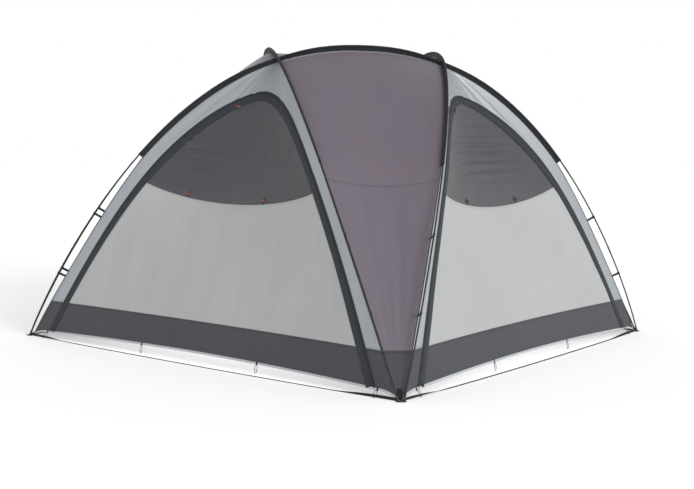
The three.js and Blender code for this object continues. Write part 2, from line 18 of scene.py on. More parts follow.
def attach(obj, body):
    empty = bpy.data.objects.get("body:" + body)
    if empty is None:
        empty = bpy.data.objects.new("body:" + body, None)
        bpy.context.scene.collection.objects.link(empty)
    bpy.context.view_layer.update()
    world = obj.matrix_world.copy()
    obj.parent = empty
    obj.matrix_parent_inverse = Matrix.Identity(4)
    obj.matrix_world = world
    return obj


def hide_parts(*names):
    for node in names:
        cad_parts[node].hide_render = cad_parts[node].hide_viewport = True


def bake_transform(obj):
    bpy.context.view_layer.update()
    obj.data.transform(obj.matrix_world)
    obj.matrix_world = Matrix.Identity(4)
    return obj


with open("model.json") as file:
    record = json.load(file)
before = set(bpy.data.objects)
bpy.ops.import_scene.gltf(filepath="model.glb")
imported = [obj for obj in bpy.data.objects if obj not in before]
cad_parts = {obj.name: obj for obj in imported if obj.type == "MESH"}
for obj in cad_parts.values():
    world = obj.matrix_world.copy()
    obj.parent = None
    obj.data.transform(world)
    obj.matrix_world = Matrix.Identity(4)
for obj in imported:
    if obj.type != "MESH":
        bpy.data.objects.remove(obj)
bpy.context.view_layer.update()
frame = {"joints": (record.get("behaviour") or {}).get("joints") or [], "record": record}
RECORD = frame["record"]
JOINTS = {joint["name"]: joint for joint in frame["joints"]}
SIDES = ("front", "right", "back", "left")
CORNERS = ("front_right", "back_right", "back_left", "front_left")
LEGS = {"left": -1, "right": 1}
ANGLE_OF_SIDE = {side: i * math.pi / 2 for i, side in enumerate(SIDES)}
ANGLE_OF_CORNER = {corner: math.pi / 4 + i * math.pi / 2 for i, corner in enumerate(CORNERS)}
bpy.ops.object.select_all(action="DESELECT")

# %% [markdown]
# The camera stands at eye height, about ten metres away, off the front right corner, so that two
# doors show and the corner between them faces us. A camera in Blender looks down its own -Z, so
# it is first stood upright, then dipped, turned and given a slight roll.

# %% Camera
CAMERA_PLACE = Vector((5.861, -7.858, 1.678))
CAMERA_TURN = math.radians(36.65)
CAMERA_DIP = math.radians(-5.578)
CAMERA_ROLL = math.radians(1.038)
LENS_MM = 63.53

camera = bpy.data.objects.new("camera", bpy.data.cameras.new("camera"))
camera.data.lens = LENS_MM
camera.matrix_world = (
    Matrix.Translation(CAMERA_PLACE)
    @ Matrix.Rotation(CAMERA_TURN, 4, "Z")
    @ Matrix.Rotation(math.pi / 2 + CAMERA_DIP, 4, "X")
    @ Matrix.Rotation(CAMERA_ROLL, 4, "Z")
)
bpy.context.scene.collection.objects.link(camera)
bpy.context.scene.camera = camera
print("camera:", round((CAMERA_PLACE - Vector((0, 0, 1))).length, 2), "m from the middle")

# %% [markdown]
# A studio is a pale floor and large soft lights. A white backdrop all round lights everything
# evenly and darkens only towards the ceiling. One broad sun from the right makes the right side
# brighter than the front, so that the corner reads. A wide lamp under the roof stands for the
# light that thin cloth lets through, which would otherwise leave a black gap under the hem.
# Standard view keeps pale cloth and a white backdrop as they are, where a film curve greys them.

# %% Floor and light
FLOOR_SIZE = 60.0
BACKDROP_STRENGTH = 1.0
CEILING_STRENGTH = 0.42
FADE_FROM, FADE_TO = 0.25, 0.9
SUN_STRENGTH = 1.35
SUN_WIDTH = math.radians(25)
SUN_FROM = Vector((0.90, -0.12, 0.40))
INNER_LAMP = {"size": 2.4, "height": 0.95, "watts": 30.0}

bpy.ops.mesh.primitive_plane_add(size=FLOOR_SIZE)
floor = bpy.context.object
floor.name = "floor"

world = bpy.data.worlds.new("studio")
bpy.context.scene.world = world
world.use_nodes = True
sky = world.node_tree
place = sky.nodes.new("ShaderNodeTexCoord")
height = sky.nodes.new("ShaderNodeSeparateXYZ")
fade = sky.nodes.new("ShaderNodeMapRange")
fade.inputs["From Min"].default_value = FADE_FROM
fade.inputs["From Max"].default_value = FADE_TO
fade.inputs["To Min"].default_value = BACKDROP_STRENGTH
fade.inputs["To Max"].default_value = CEILING_STRENGTH
sky.links.new(place.outputs["Generated"], height.inputs[0])
sky.links.new(height.outputs["Z"], fade.inputs["Value"])
sky.links.new(fade.outputs[0], sky.nodes["Background"].inputs["Strength"])
sky.nodes["Background"].inputs["Color"].default_value = (1, 1, 1, 1)

sun, lamp = (bpy.data.objects.new(name, bpy.data.lights.new(name, kind))
             for name, kind in (("sun", "SUN"), ("inner_lamp", "AREA")))
sun.data.energy, sun.data.angle = SUN_STRENGTH, SUN_WIDTH
sun.rotation_mode = "QUATERNION"
sun.rotation_quaternion = SUN_FROM.to_track_quat("Z", "Y")
lamp.data.size, lamp.data.energy = INNER_LAMP["size"], INNER_LAMP["watts"]
lamp.location.z = INNER_LAMP["height"]
for light in (sun, lamp):
    bpy.context.scene.collection.objects.link(light)
bpy.context.scene.view_settings.view_transform = "Standard"
print("stage: floor", FLOOR_SIZE, "m, sun", SUN_STRENGTH)

# %% [markdown]
# Every material is built from nodes. Two small helpers do it: one turns the hex colour that a
# dye chart gives into the linear numbers that a shader wants, and the other adds a node with
# its settings, and sets or links each input.

# %% Colour and node helpers
def linear(hex_colour):
    """The linear RGBA of an sRGB hex colour such as '#a9b0b5'."""
    channels = [int(hex_colour[i:i + 2], 16) / 255 for i in (1, 3, 5)]
    toe, low_slope, offset, power = 0.04045, 12.92, 0.055, 2.4
    flat = [c / low_slope if c <= toe else ((c + offset) / (1 + offset)) ** power for c in channels]
    return (*flat, 1.0)


def add_node(tree, kind, inputs=None, **settings):
    """Adds a node, sets its properties, and gives each named input a value or a link."""
    node = tree.nodes.new(kind)
    for name, value in settings.items():
        setattr(node, name, value)
    for socket, value in (inputs or {}).items():
        if isinstance(value, bpy.types.NodeSocket):
            tree.links.new(value, node.inputs[socket])
        else:
            node.inputs[socket].default_value = value
    return node


def new_material(name, on_cloth=True):
    """A material without nodes, its tree, and the place where its patterns are looked up."""
    material = bpy.data.materials.new(name)
    material.use_nodes = True
    tree = material.node_tree
    tree.nodes.clear()
    if on_cloth:
        return material, tree, add_node(tree, "ShaderNodeUVMap", uv_map="cloth").outputs["UV"]
    return material, tree, add_node(tree, "ShaderNodeTexCoord").outputs["Object"]


def noise(tree, place, scale, **inputs):
    inputs = {"Vector": place, "Scale": scale, **inputs}
    return add_node(tree, "ShaderNodeTexNoise", inputs).outputs["Fac"]


def mapped(tree, value, *limits):
    """A value from its own range, if one is given, to another: low and high of each."""
    names = ("From Min", "From Max", "To Min", "To Max")[-len(limits):]
    return add_node(tree, "ShaderNodeMapRange", {"Value": value, **dict(zip(names, limits))}).outputs[0]


def mixed(tree, share, first, second):
    return add_node(tree, "ShaderNodeMix", {"Factor": share, 2: first, 3: second}).outputs[0]


def dyed(tree, share, colour, second):
    """A colour that drifts between two near ones."""
    inputs = {"Factor": share, 6: linear(colour), 7: linear(second)}
    return add_node(tree, "ShaderNodeMix", inputs, data_type="RGBA").outputs[2]


def bump(tree, height, strength, distance, **inputs):
    inputs = {"Height": height, "Strength": strength, "Distance": distance, **inputs}
    return add_node(tree, "ShaderNodeBump", inputs).outputs[0]


def shade(tree, inputs):
    """The one shader of a material, joined to its output."""
    shader = add_node(tree, "ShaderNodeBsdfPrincipled", inputs)
    add_node(tree, "ShaderNodeOutputMaterial", {"Surface": shader.outputs[0]})

# %% [markdown]
# Tent cloth is a plain weave of polyester yarn with a thin waterproof coat. The yarn is finer
# than anything that shows from a few metres, so the weave here is drawn a few times coarser, and
# only as bump. What the eye does see is that no two widths of cloth take the dye quite alike,
# faint streaks along the yarn, a soft sheen, and shallow creases from being packed in a bag.
# Patterns follow the cloth's own UV map, which is laid out in metres along its two edges.

# %% Coated cloth
MM = 0.001


def band_scale(period):
    """The Wave texture's scale for bands this far apart: its own period is a twentieth of a turn."""
    return 2 * math.pi / 20 / period


def woven_height(tree, uv, thread):
    """The height of a plain weave: two sets of ridges, crossed."""
    ridges = [add_node(tree, "ShaderNodeTexWave", {"Vector": uv, "Scale": band_scale(thread)},
                       bands_direction=direction).outputs["Fac"] for direction in ("X", "Y")]
    return add_node(tree, "ShaderNodeMath", dict(enumerate(ridges)), operation="MULTIPLY").outputs[0]


def cloth_material(name, colour, second, thread, roughness, sheen, crease, gleam=0.5, metal=0.0):
    """A dyed, coated plain weave whose tone drifts between two near colours."""
    material, tree, uv = new_material(name)
    yarn = add_node(tree, "ShaderNodeMapping", {"Vector": uv, "Scale": (60, 2.5, 1)}).outputs[0]
    tone = mixed(tree, 0.35, noise(tree, uv, 1.6, Detail=3.0), noise(tree, yarn, 1.0))
    folds = noise(tree, uv, 7.0, Detail=4.0, Roughness=0.62, Distortion=0.8)
    creased = bump(tree, folds, crease, 6 * MM)
    shade(tree, {
        "Base Color": dyed(tree, mapped(tree, tone, 0.32, 0.68, 0, 1), colour, second),
        "Roughness": mapped(tree, folds, roughness - 0.06, roughness + 0.06),
        "Normal": bump(tree, woven_height(tree, uv, thread), 0.35, thread / 4, Normal=creased),
        "Sheen Weight": sheen, "Sheen Roughness": 0.4, "Specular IOR Level": gleam,
        "Metallic": metal})
    return material


# Silver-coated polyester taffeta: bright and slightly glossy on the strips round each door.
WALL_CLOTH = cloth_material("silver_taffeta", "#a2a7ab", "#979ca1", 0.9 * MM, 0.42, 0.2, 0.3,
                            metal=0.2)
# The same yarn without the gloss coat on the doors: chalky, and a little warmer.
DOOR_CLOTH = cloth_material("door_taffeta", "#adafaf", "#a5a8a7", 0.9 * MM, 0.62, 0.2, 0.22)
# Aubergine-grey polyester over the corners and the roof.
CORNER_CLOTH = cloth_material("aubergine_polyester", "#6d636e", "#675f6a", 0.9 * MM, 0.62, 0.3, 0.22)
# A heavier oxford weave for the strip that takes the mud.
MUD_CLOTH = cloth_material("oxford_mud_wall", "#494b50", "#43454a", 1.4 * MM, 0.66, 0.1, 0.3, 0.3)
# The sleeves are the same oxford in a darker dye, and stand up round the poles.
SLEEVE_CLOTH = cloth_material("oxford_sleeve", "#313237", "#292a2e", 1.4 * MM, 0.66, 0.05, 0.5, 0.15)
# Binding tape that finishes the hem: pale, tight and plain.
HEM_TAPE = cloth_material("hem_binding", "#b9bcc0", "#aeb1b6", 0.7 * MM, 0.6, 0.2, 0.2)
print("cloth materials:", len(bpy.data.materials))

# %% [markdown]
# Insect mesh is knitted from black-grey yarn with holes of about a millimetre, so it is partly
# open. From some metres the holes can't be seen one by one. They are drawn about three
# millimetres apart, and each opening lets a share of the light through. The mesh is drawn
# mostly opaque, and its dark grey is partly the yarn's own colour and partly painted shade,
# standing in for the dark inside of the tent seen through it.

# %% Insect mesh
MESH_PITCH = 3.0 * MM
MESH_SOLID, MESH_OPEN = 0.90, 0.62

INSECT_MESH, tree, uv = new_material("insect_mesh")
knit = woven_height(tree, uv, MESH_PITCH)
# The base colour is partly the yarn's own dark grey and partly painted shade of the tent's dark inside.
shade(tree, {
    "Base Color": dyed(tree, noise(tree, uv, 2.2, Detail=3.0), "#4a4a50", "#414146"),
    "Roughness": 0.6, "Normal": bump(tree, knit, 0.4, 0.4 * MM), "Sheen Weight": 0.3,
    "Sheen Roughness": 0.5, "Alpha": mapped(tree, knit, 0.2, 0.7, MESH_SOLID, MESH_OPEN)})
print("mesh material: openings", MESH_PITCH / MM, "mm apart")

# %% [markdown]
# Webbing and zip tape are ribbed along their length: webbing has chevron ribs of about two
# millimetres, and tape has fine ones. Both are polypropylene or polyester, dyed near black.

# %% Webbing and tape
def ribbed_material(name, colour, second, rib, roughness):
    """A narrow woven tape: ribs that run slantwise along its UV map."""
    material, tree, uv = new_material(name)
    ribs = add_node(tree, "ShaderNodeTexWave", {"Vector": uv, "Scale": 2 * band_scale(rib),
                                                "Distortion": 0.6, "Detail": 1.0},
                    bands_direction="DIAGONAL").outputs["Fac"]
    tone = mixed(tree, 0.5, ribs, noise(tree, uv, 14.0, Detail=3.0))
    shade(tree, {"Base Color": dyed(tree, tone, colour, second), "Roughness": roughness,
                 "Normal": bump(tree, ribs, 0.5, rib / 4), "Sheen Weight": 0.05,
                 "Specular IOR Level": 0.15})
    return material


# Polypropylene webbing, as on rucksacks.
WEBBING = ribbed_material("polypropylene_webbing", "#2e2f32", "#222326", 2.2 * MM, 0.7)
# Polyester tape, a little paler, for the zips' flaps.
ZIP_TAPE = ribbed_material("zip_flap_tape", "#3a3d43", "#303338", 1.6 * MM, 0.62)
# Nylon coil, seen only as close ribs.
ZIP_COIL = ribbed_material("nylon_zip_coil", "#33353a", "#26282c", 1.2 * MM, 0.45)
# Braided cord for the loops.
ELASTIC = ribbed_material("braided_elastic", "#3a3b3e", "#55565a", 1.0 * MM, 0.7)
# Cloth binding over the long seams.
PIPING = ribbed_material("seam_piping", "#3b3c43", "#303137", 1.6 * MM, 0.6)
print("tape materials made")

# %% [markdown]
# The hard parts are few. The poles are pultruded fibreglass, black, smooth, with faint streaks
# along the glass. Clips, sliders and toggles are moulded plastic with a fine spark-eroded grain.
# Pins and rings are zinc-plated steel, which is a little dull and scratched.

# %% Plastic, fibreglass and steel
def hard_material(name, colour, second, grain, roughness, metallic=0.0):
    """A moulded, pultruded or plated surface: fine grain in bump, and an uneven gloss."""
    material, tree, place = new_material(name, on_cloth=False)
    broad = noise(tree, place, 22.0, Detail=4.0)
    shade(tree, {
        "Base Color": dyed(tree, broad, colour, second), "Metallic": metallic,
        "Roughness": mapped(tree, broad, roughness - 0.1, roughness + 0.12),
        "Normal": bump(tree, noise(tree, place, 1 / grain, Detail=2.0), 0.25, grain / 6)})
    return material


# Glass fibre in black resin, pulled through a die.
FIBREGLASS = hard_material("pultruded_fibreglass", "#0f1011", "#18191b", 1.5 * MM, 0.45)
# Blackened steel for the tubes that join the pole's sections, and for the feet.
FERRULE = hard_material("blackened_steel_ferrule", "#3c3e42", "#54565b", 0.8 * MM, 0.36, 1.0)
# Black acetal, for all that is injection moulded.
MOULDING = hard_material("moulded_acetal", "#17181a", "#222326", 0.8 * MM, 0.42)
# Steel with dull zinc.
STEEL = hard_material("zinc_plated_steel", "#9a9da1", "#7b7e83", 0.8 * MM, 0.34, 1.0)
# The toggles come in two colours: orange on the front and back, dark on the right and left.
ORANGE = hard_material("orange_toggle", "#a35c36", "#8f4f30", 0.8 * MM, 0.5)
DARK_TOGGLE = hard_material("dark_toggle", "#303136", "#3c3d42", 0.8 * MM, 0.5)
# White paint that glows faintly, so that the floor is as white as the backdrop.
FLOOR_PAINT = hard_material("studio_floor", "#f4f4f4", "#f1f1f1", 4.0 * MM, 0.9)
FLOOR_GLOW = 0.32
paint = FLOOR_PAINT.node_tree.nodes["Principled BSDF"].inputs
paint["Emission Color"].default_value = (1, 1, 1, 1)
paint["Emission Strength"].default_value = FLOOR_GLOW
floor.data.materials.append(FLOOR_PAINT)
print("materials:", len(bpy.data.materials))

# %% [markdown]
# Cloth follows the poles, so the cloth is worked out from the poles' own line. A pole bows in a
# plane that leans towards one corner. Drawn facing -Y it runs along X, and s goes from -1 at one
# foot to 1 at the other. These are the frame's own sizes, in metres.

# %% The line of a pole
HALF_SPAN = abs(RECORD["mounts"][0]["pos_m"][0])
POLE_RISE = 2.260
POLE_LEAN = 0.28
POLE_POWER, POLE_ROUNDNESS = 2.23, 0.918
POLE_DIAMETER = 0.011
POLE_END_HEIGHT = 0.009
FOOT_SPREAD = 0.034
HALF_DIAGONAL = HALF_SPAN * math.sqrt(2)


def unit(vectors):
    vectors = np.asarray(vectors, float)
    return vectors / np.linalg.norm(vectors, axis=-1, keepdims=True)


OFF_PLANE = unit((0, -1, -POLE_LEAN))
TANGENT_STEP = 0.0005


def bow(s):
    """Points on the centre line of a pole."""
    s = np.asarray(s, float)
    z = POLE_RISE * np.clip(1 - np.abs(s) ** POLE_POWER, 0, None) ** POLE_ROUNDNESS
    return np.stack([s * HALF_DIAGONAL, -(FOOT_SPREAD / 2 + POLE_LEAN * z), z], axis=-1)


def bow_tangent(s):
    ahead, behind = (bow(np.clip(s + step, -1, 1)) for step in (TANGENT_STEP, -TANGENT_STEP))
    return unit(ahead - behind)


def bow_outward(s):
    return unit(np.cross(OFF_PLANE, bow_tangent(s)))


def turned(points, angle):
    """Points or directions, turned about the vertical."""
    cosine, sine = math.cos(angle), math.sin(angle)
    turn = np.array(((cosine, -sine, 0), (sine, cosine, 0), (0, 0, 1)))
    return np.asarray(points, float) @ turn.T


print("pole length:", round(float(np.linalg.norm(np.diff(bow(np.linspace(-1, 1, 999)), axis=0),
                                                 axis=1).sum()), 2), "m")

# %% [markdown]
# The canopy's long seams run inside the poles, closer where there is a sleeve and further in
# where there are only clips. A seam has no neat formula for "where is it at this height", so it
# is sampled finely once and read back by interpolation.

# %% The canopy's seams
SLEEVE_DEPTH = 0.034
SLEEVE_END_HEIGHT = 1.430
CLIPPED_BELLY = 0.034
SEAM_AT_FOOT = 0.025
# Cloths that meet at a seam stop this far short of it.
SEAM_GAP = 0.001


def seam_depth(z):
    """How far in from its pole the seam is."""
    share = np.minimum(1, np.asarray(z) / SLEEVE_END_HEIGHT)
    return (SEAM_AT_FOOT + (SLEEVE_DEPTH - SEAM_AT_FOOT) * share
            + CLIPPED_BELLY * np.sin(math.pi * share))


def seam(s):
    """Along the pole's span, aside by its lean, and the height of the seam under it."""
    line = bow(s)
    line = line - bow_outward(s) * seam_depth(line[..., 2])[..., None]
    return line[..., 0], -line[..., 1], line[..., 2]


SAMPLES = np.linspace(0, 1, 4001)
SEAM_ALONG, SEAM_ASIDE, SEAM_Z = seam(SAMPLES)


def seam_at(z):
    """Along and aside, on one leg, at a height."""
    return (np.interp(z, SEAM_Z[::-1], SEAM_ALONG[::-1]),
            np.interp(z, SEAM_Z[::-1], SEAM_ASIDE[::-1]))


CROSSING = int(np.argmax(SEAM_ALONG > SEAM_ASIDE))
CROSS_ALONG, CROSS_Z = float(SEAM_ALONG[CROSSING]), float(SEAM_Z[CROSSING])
POLE_CROSSING_S = float(SAMPLES[int(np.argmax(bow(SAMPLES)[:, 0] > -bow(SAMPLES)[:, 1]))])
print("poles cross", round(CROSS_Z, 3), "m up")

# %% [markdown]
# A side hangs between the seams of two crossing poles. It is drawn in towards its hem and its
# middle, and stays a smooth sheet. The zip is an arch on it, and a door fills the arch: cloth
# below, mesh above, and its own share of the mud wall along the hem.

# %% The surface of a side
HEM_HEIGHT, HEM_LIFT, HEM_INSET = 0.042, 0.028, 0.030
MUD_WALL_HEIGHT = 0.280
SIDE_FULLNESS = 0.35
DOOR_HEAD, DOOR_SIDE, DOOR_ROUNDNESS = 0.235, 0.160, 0.59
ARCH_SPACING = 1.7
WINDOW_SILL, WINDOW_SAG = 1.095, 0.140
TOP_OUT = CROSS_ALONG * math.sqrt(2)
HEM_OUT = HALF_SPAN - HEM_INSET
DOOR_TOP = CROSS_Z - DOOR_HEAD


def side_edge(z):
    """Half of a side's width at a height, and how far out its edge is."""
    along, aside = seam_at(z)
    return (along - aside) / math.sqrt(2), (along + aside) / math.sqrt(2)


def side_point(x, z):
    x, z = np.broadcast_arrays(np.asarray(x, float), np.asarray(z, float))
    half, out = side_edge(z)
    drop = HEM_OUT + (TOP_OUT - HEM_OUT) * z / CROSS_Z
    middle = drop + (out - drop) * SIDE_FULLNESS
    share = np.where(half > 0.001, np.minimum(1, np.abs(x) / np.maximum(half, 0.001)), 1)
    return np.stack([x, -(middle + (out - middle) * share ** 2), z], axis=-1)


def side_normal(x, z, reach=0.002):
    low = np.minimum(z, CROSS_Z - 8 * reach)
    near = np.sign(x) * np.minimum(np.abs(x), np.maximum(side_edge(low)[0] - 2 * reach, 0))
    across = side_point(near + reach, low) - side_point(near - reach, low)
    upward = side_point(near, low + reach) - side_point(near, low - reach)
    return unit(np.cross(across, upward))


DOOR_FOOT_HALF = float(side_edge(0.0)[0]) - DOOR_SIDE


def zip_half(z):
    """Half of the width between the two legs of the zip."""
    return DOOR_FOOT_HALF * np.clip(1 - np.asarray(z) / DOOR_TOP, 0, None) ** DOOR_ROUNDNESS


def zip_line(t, bottom, inset=0.0):
    """Points (x, z) along the zip: t from -1 at the left foot, over the top, to 1 at the right."""
    def line(u):
        z = bottom + (DOOR_TOP - bottom) * (1 - np.abs(u) ** ARCH_SPACING)
        return np.stack([np.sign(u) * zip_half(z), z], axis=-1)

    reach = 0.01
    along = unit(line(np.minimum(1, t + reach)) - line(np.maximum(-1, t - reach)))
    return line(t) + np.stack([along[..., 1], -along[..., 0]], axis=-1) * inset


def hem(share):
    return HEM_HEIGHT + HEM_LIFT * (1 - share ** 2)


def sill(share):
    return WINDOW_SILL + WINDOW_SAG * share ** 2


print("door:", round(2 * DOOR_FOOT_HALF, 2), "m wide,", round(DOOR_TOP, 2), "m high")

# %% [markdown]
# Nylon and polyester never hang quite flat. Between its tapes each door keeps shallow upright
# folds. The mesh stretches more one way than the other, so it ripples across. The strip over the
# door is pulled from the crossing above, which leaves fine creases that fan out. All of this is
# one relief per side, so that pieces sewn to each other stay together.

# %% Folds in a side's cloth
SIDE_PHASE = {"front": 0.4, "right": 2.3, "back": 4.1, "left": 5.2}
FOLD_HEIGHT = 0.0045
RIPPLE_HEIGHT = {"front": 0.0065, "right": 0.0110, "back": 0.0065, "left": 0.0080}
RIPPLE_MIDDLE = {"front": -0.28, "right": -0.02, "back": 0.10, "left": -0.15}
CREASE_HEIGHT = 0.0030


def smooth(low, high, value):
    t = np.clip((value - low) / (high - low), 0, 1)
    return t * t * (3 - 2 * t)


def side_relief(x, z, side):
    """How far the cloth stands out of its smooth sheet."""
    phase = SIDE_PHASE[side]
    inside = smooth(0, 0.10, zip_half(z) - np.abs(x)) * smooth(0, 0.06, DOOR_TOP - z)
    sill_z = sill(x / np.maximum(zip_half(z), 0.2))
    window = smooth(0.0, 0.08, z - sill_z)
    below = 1 - smooth(-0.06, 0.0, z - sill_z)
    low = smooth(0.0, 0.12, z - MUD_WALL_HEIGHT)
    folds = (np.sin(9.0 * x + 1.3 * np.sin(2.1 * z + phase) + phase)
             + 0.55 * np.sin(21.0 * x - 1.1 * z + 2 * phase)
             + 0.25 * np.sin(43.0 * x + 2.3 * z * x + phase))
    ripples = (np.sin(95.0 * z + 2.6 * np.sin(3.1 * x + phase) + 4 * x)
               + 0.6 * np.sin(171.0 * z - 9.0 * x + 2.0 * np.sin(5 * x)))
    patch = np.exp(-((x - RIPPLE_MIDDLE[side]) / 0.38) ** 2 - ((z - 1.47) / 0.19) ** 2)
    fan = np.arctan2(x, CROSS_Z + 0.05 - z)
    creases = np.sin(34.0 * fan + phase) + 0.7 * np.sin(57.0 * fan + 2 * phase)
    over = smooth(0.0, 0.05, np.abs(x) - zip_half(z)) * smooth(1.25, 1.75, z)
    over = over * smooth(0.0, 0.10, CROSS_Z - z)
    edge = smooth(0.0, 0.05, side_edge(z)[0] - np.abs(x))
    return (FOLD_HEIGHT * folds * inside * below * low
            + RIPPLE_HEIGHT[side] * ripples * patch * inside * window
            + 0.3 * FOLD_HEIGHT * folds * inside * window
            + CREASE_HEIGHT * creases * over * edge)


def side_cloth_point(x, z, side, lift=0.0):
    """A point on the hung cloth, or a little in front of it."""
    normal = side_normal(x, z)
    return side_point(x, z) + normal * (side_relief(x, z, side) + lift)[..., None]


print("folds up to", FOLD_HEIGHT / MM, "mm")

# %% [markdown]
# A panel of cloth is a grid of quads. Its UV map is its cut: the distances along its two edges.
# A Solidify modifier gives it the half millimetre of real coated cloth, inwards, so that the
# outer face stays where the frame has it. A tape, cord or sleeve is an outline swept along a line,
# closed at both ends.

# %% Panels and sweeps
CLOTH_THICKNESS = 0.5 * MM
INSIDE = np.array((0.0, 0.0, 0.8))


def finish_mesh(name, vertices, faces, uvs, material):
    """A smooth mesh object with its cloth UV map and one material."""
    mesh = bpy.data.meshes.new(name)
    mesh.from_pydata([tuple(v) for v in vertices], [], [tuple(f) for f in faces])
    layer = mesh.uv_layers.new(name="cloth")
    corners = np.empty(len(mesh.loops), int)
    mesh.loops.foreach_get("vertex_index", corners)
    layer.data.foreach_set("uv", np.asarray(uvs, np.float32)[corners].ravel())
    mesh.polygons.foreach_set("use_smooth", np.ones(len(mesh.polygons), bool))
    mesh.materials.append(material)
    piece = bpy.data.objects.new(name, mesh)
    bpy.context.scene.collection.objects.link(piece)
    return piece


def quads(rows, columns, closed=False):
    """The faces of a grid of points, each row joined to the next."""
    r, c = np.meshgrid(np.arange(rows - 1), np.arange(columns if closed else columns - 1),
                       indexing="ij")
    a, b = r * columns + c, r * columns + (c + 1) % columns
    return np.stack([a, b, b + columns, a + columns], axis=-1).reshape(-1, 4)


def lengths(points, axis):
    """Distances along a grid's rows or columns, from its first point."""
    steps = np.linalg.norm(np.diff(points, axis=axis), axis=-1)
    return np.concatenate([np.zeros_like(np.take(steps, [0], axis)), np.cumsum(steps, axis)], axis)


def panel(name, points, material, angle):
    """A panel of cloth from a grid of points, turned about the vertical."""
    rows, columns = points.shape[:2]
    faces = quads(rows, columns)
    points = turned(points, angle)
    flat = points.reshape(-1, 3)
    a, b, c = (flat[faces[:, i]] for i in (0, 1, 2))
    if (np.cross(b - a, c - a) * (a - INSIDE)).sum() < 0:
        faces = faces[:, ::-1]
    across, along = lengths(points, 1), lengths(points, 0)
    across = across - across[:, columns // 2][:, None]
    uvs = np.stack([across, np.broadcast_to(along[:, columns // 2][:, None], across.shape)], -1)
    piece = finish_mesh(name, flat, faces, uvs.reshape(-1, 2), material)
    solid = piece.modifiers.new("cloth_thickness", "SOLIDIFY")
    solid.thickness, solid.offset = CLOTH_THICKNESS, -1
    piece["cut"] = [float(across.max(axis=1).max() - across.min(axis=1).min()),
                    float(along[-1].max())]
    return piece


def faces_outward(piece):
    """Turns all faces of a closed piece outwards."""
    bpy.ops.object.select_all(action="DESELECT")
    piece.select_set(True)
    bpy.context.view_layer.objects.active = piece
    bpy.ops.object.mode_set(mode="EDIT")
    bpy.ops.mesh.select_all(action="SELECT")
    bpy.ops.mesh.normals_make_consistent(inside=False)
    bpy.ops.object.mode_set(mode="OBJECT")
    return piece


def sweep(name, centres, across, upward, outline, material, angle=0.0):
    """A closed outline, one for all stations or one for each, swept along a line and turned."""
    count = len(centres)
    centres = turned(centres, angle)[:, None, :]
    across, upward = (np.broadcast_to(turned(axis, angle), (count, 3))[:, None, :]
                      for axis in (across, upward))
    outline = np.broadcast_to(outline, (count, *np.asarray(outline).shape[-2:]))
    points = centres + across * outline[..., :1] + upward * outline[..., 1:]
    sides = points.shape[1]
    faces = [tuple(f) for f in quads(count, sides, closed=True)]
    faces += [tuple(range(sides))[::-1], tuple(range((count - 1) * sides, count * sides))]
    girth = lengths(np.concatenate([points, points[:, :1]], axis=1), 1)[:, :-1]
    uvs = np.stack([np.broadcast_to(lengths(centres, 0), girth.shape), girth], -1)
    return faces_outward(finish_mesh(name, points.reshape(-1, 3), faces, uvs.reshape(-1, 2),
                                     material))


def strip_outline(width, rise, base=0.0, points=6):
    """A thin domed strip: flat underneath, arched on top."""
    u = np.linspace(-1, 1, points)
    top = np.stack([u * width / 2, base + rise * (0.35 + 0.65 * (1 - u ** 2))], -1)
    bottom = np.stack([u[::-1] * width / 2, np.full(points, base)], -1)
    return np.concatenate([bottom, top])


def on_surface(points, normals):
    """The across direction of a strip that lies on a surface along a line."""
    return unit(np.cross(unit(np.gradient(points, axis=0)), normals))


def strip(name, line, width, rise, material, angle):
    """A narrow strip, of one width or one for each point, along a line on the cloth."""
    points, normals = line
    outline = np.stack([strip_outline(each, rise, base=0.2 * MM)
                        for each in np.broadcast_to(width, len(points))])
    return sweep(name, points, on_surface(points, normals), normals, outline, material, angle)


print("builders ready")

# %% [markdown]
# Each door hangs on a fold beside the left leg of its zip, and is free round the rest of the arch.
# There is no hinge there, only cloth. The fold line, which is the joint's own axis, and the
# direction from it into the door are worked out for each of a door's pieces, but the pieces are
# not bent: each keeps its place, baked into its mesh.

# %% Dressing a piece
DOOR_MIDDLE_HEIGHT = 0.7


def dress(piece, node=None, body="shelter", door=None):
    """Hides the CAD node that a piece stands for, and hangs the piece from the body that carries it; a
    door's piece only has its place baked into its mesh.
    """
    if node:
        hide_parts(node)
    if door is None:
        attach(piece, body)
        return
    joint = JOINTS[f"{door}_door_swing"]
    start, axis = Vector(joint["pos_m"]), Vector(joint["axis"]).normalized()
    into = Vector(turned(side_point(0.0, DOOR_MIDDLE_HEIGHT), ANGLE_OF_SIDE[door])) - start
    into -= axis * into.dot(axis)
    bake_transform(piece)


# %% [markdown]
# The wall is one arch of cloth round the door, from mud wall to mud wall, sewn to the seams of the
# two poles that cross above it. The door is cut from three cloths: the chalky one below, insect
# mesh above a sill that dips in the middle, and the mud wall's oxford at the bottom. Narrow
# raised strips are the felled seams between them, and the pale binding along the hem.

# %% Walls and doors
ZIP_GAP = 0.006
DOOR_EDGE = 0.001
SEAM_WIDTH, SEAM_RISE = 0.009, 0.0010
HEM_TAPE_WIDTH, HEM_TAPE_RISE = 0.015, 0.0012
NARROWEST_HALF = 0.012


def door_half(z):
    slope = (zip_half(z + MM) - zip_half(z - MM)) / (2 * MM)
    return np.maximum(zip_half(z) - DOOR_EDGE * np.hypot(1, slope), 0)


LEAF_HEIGHTS = np.linspace(1.0, DOOR_TOP - 0.0005, 2000)
DOOR_LEAF_TOP = float(LEAF_HEIGHTS[int(np.argmax(door_half(LEAF_HEIGHTS) < NARROWEST_HALF))])


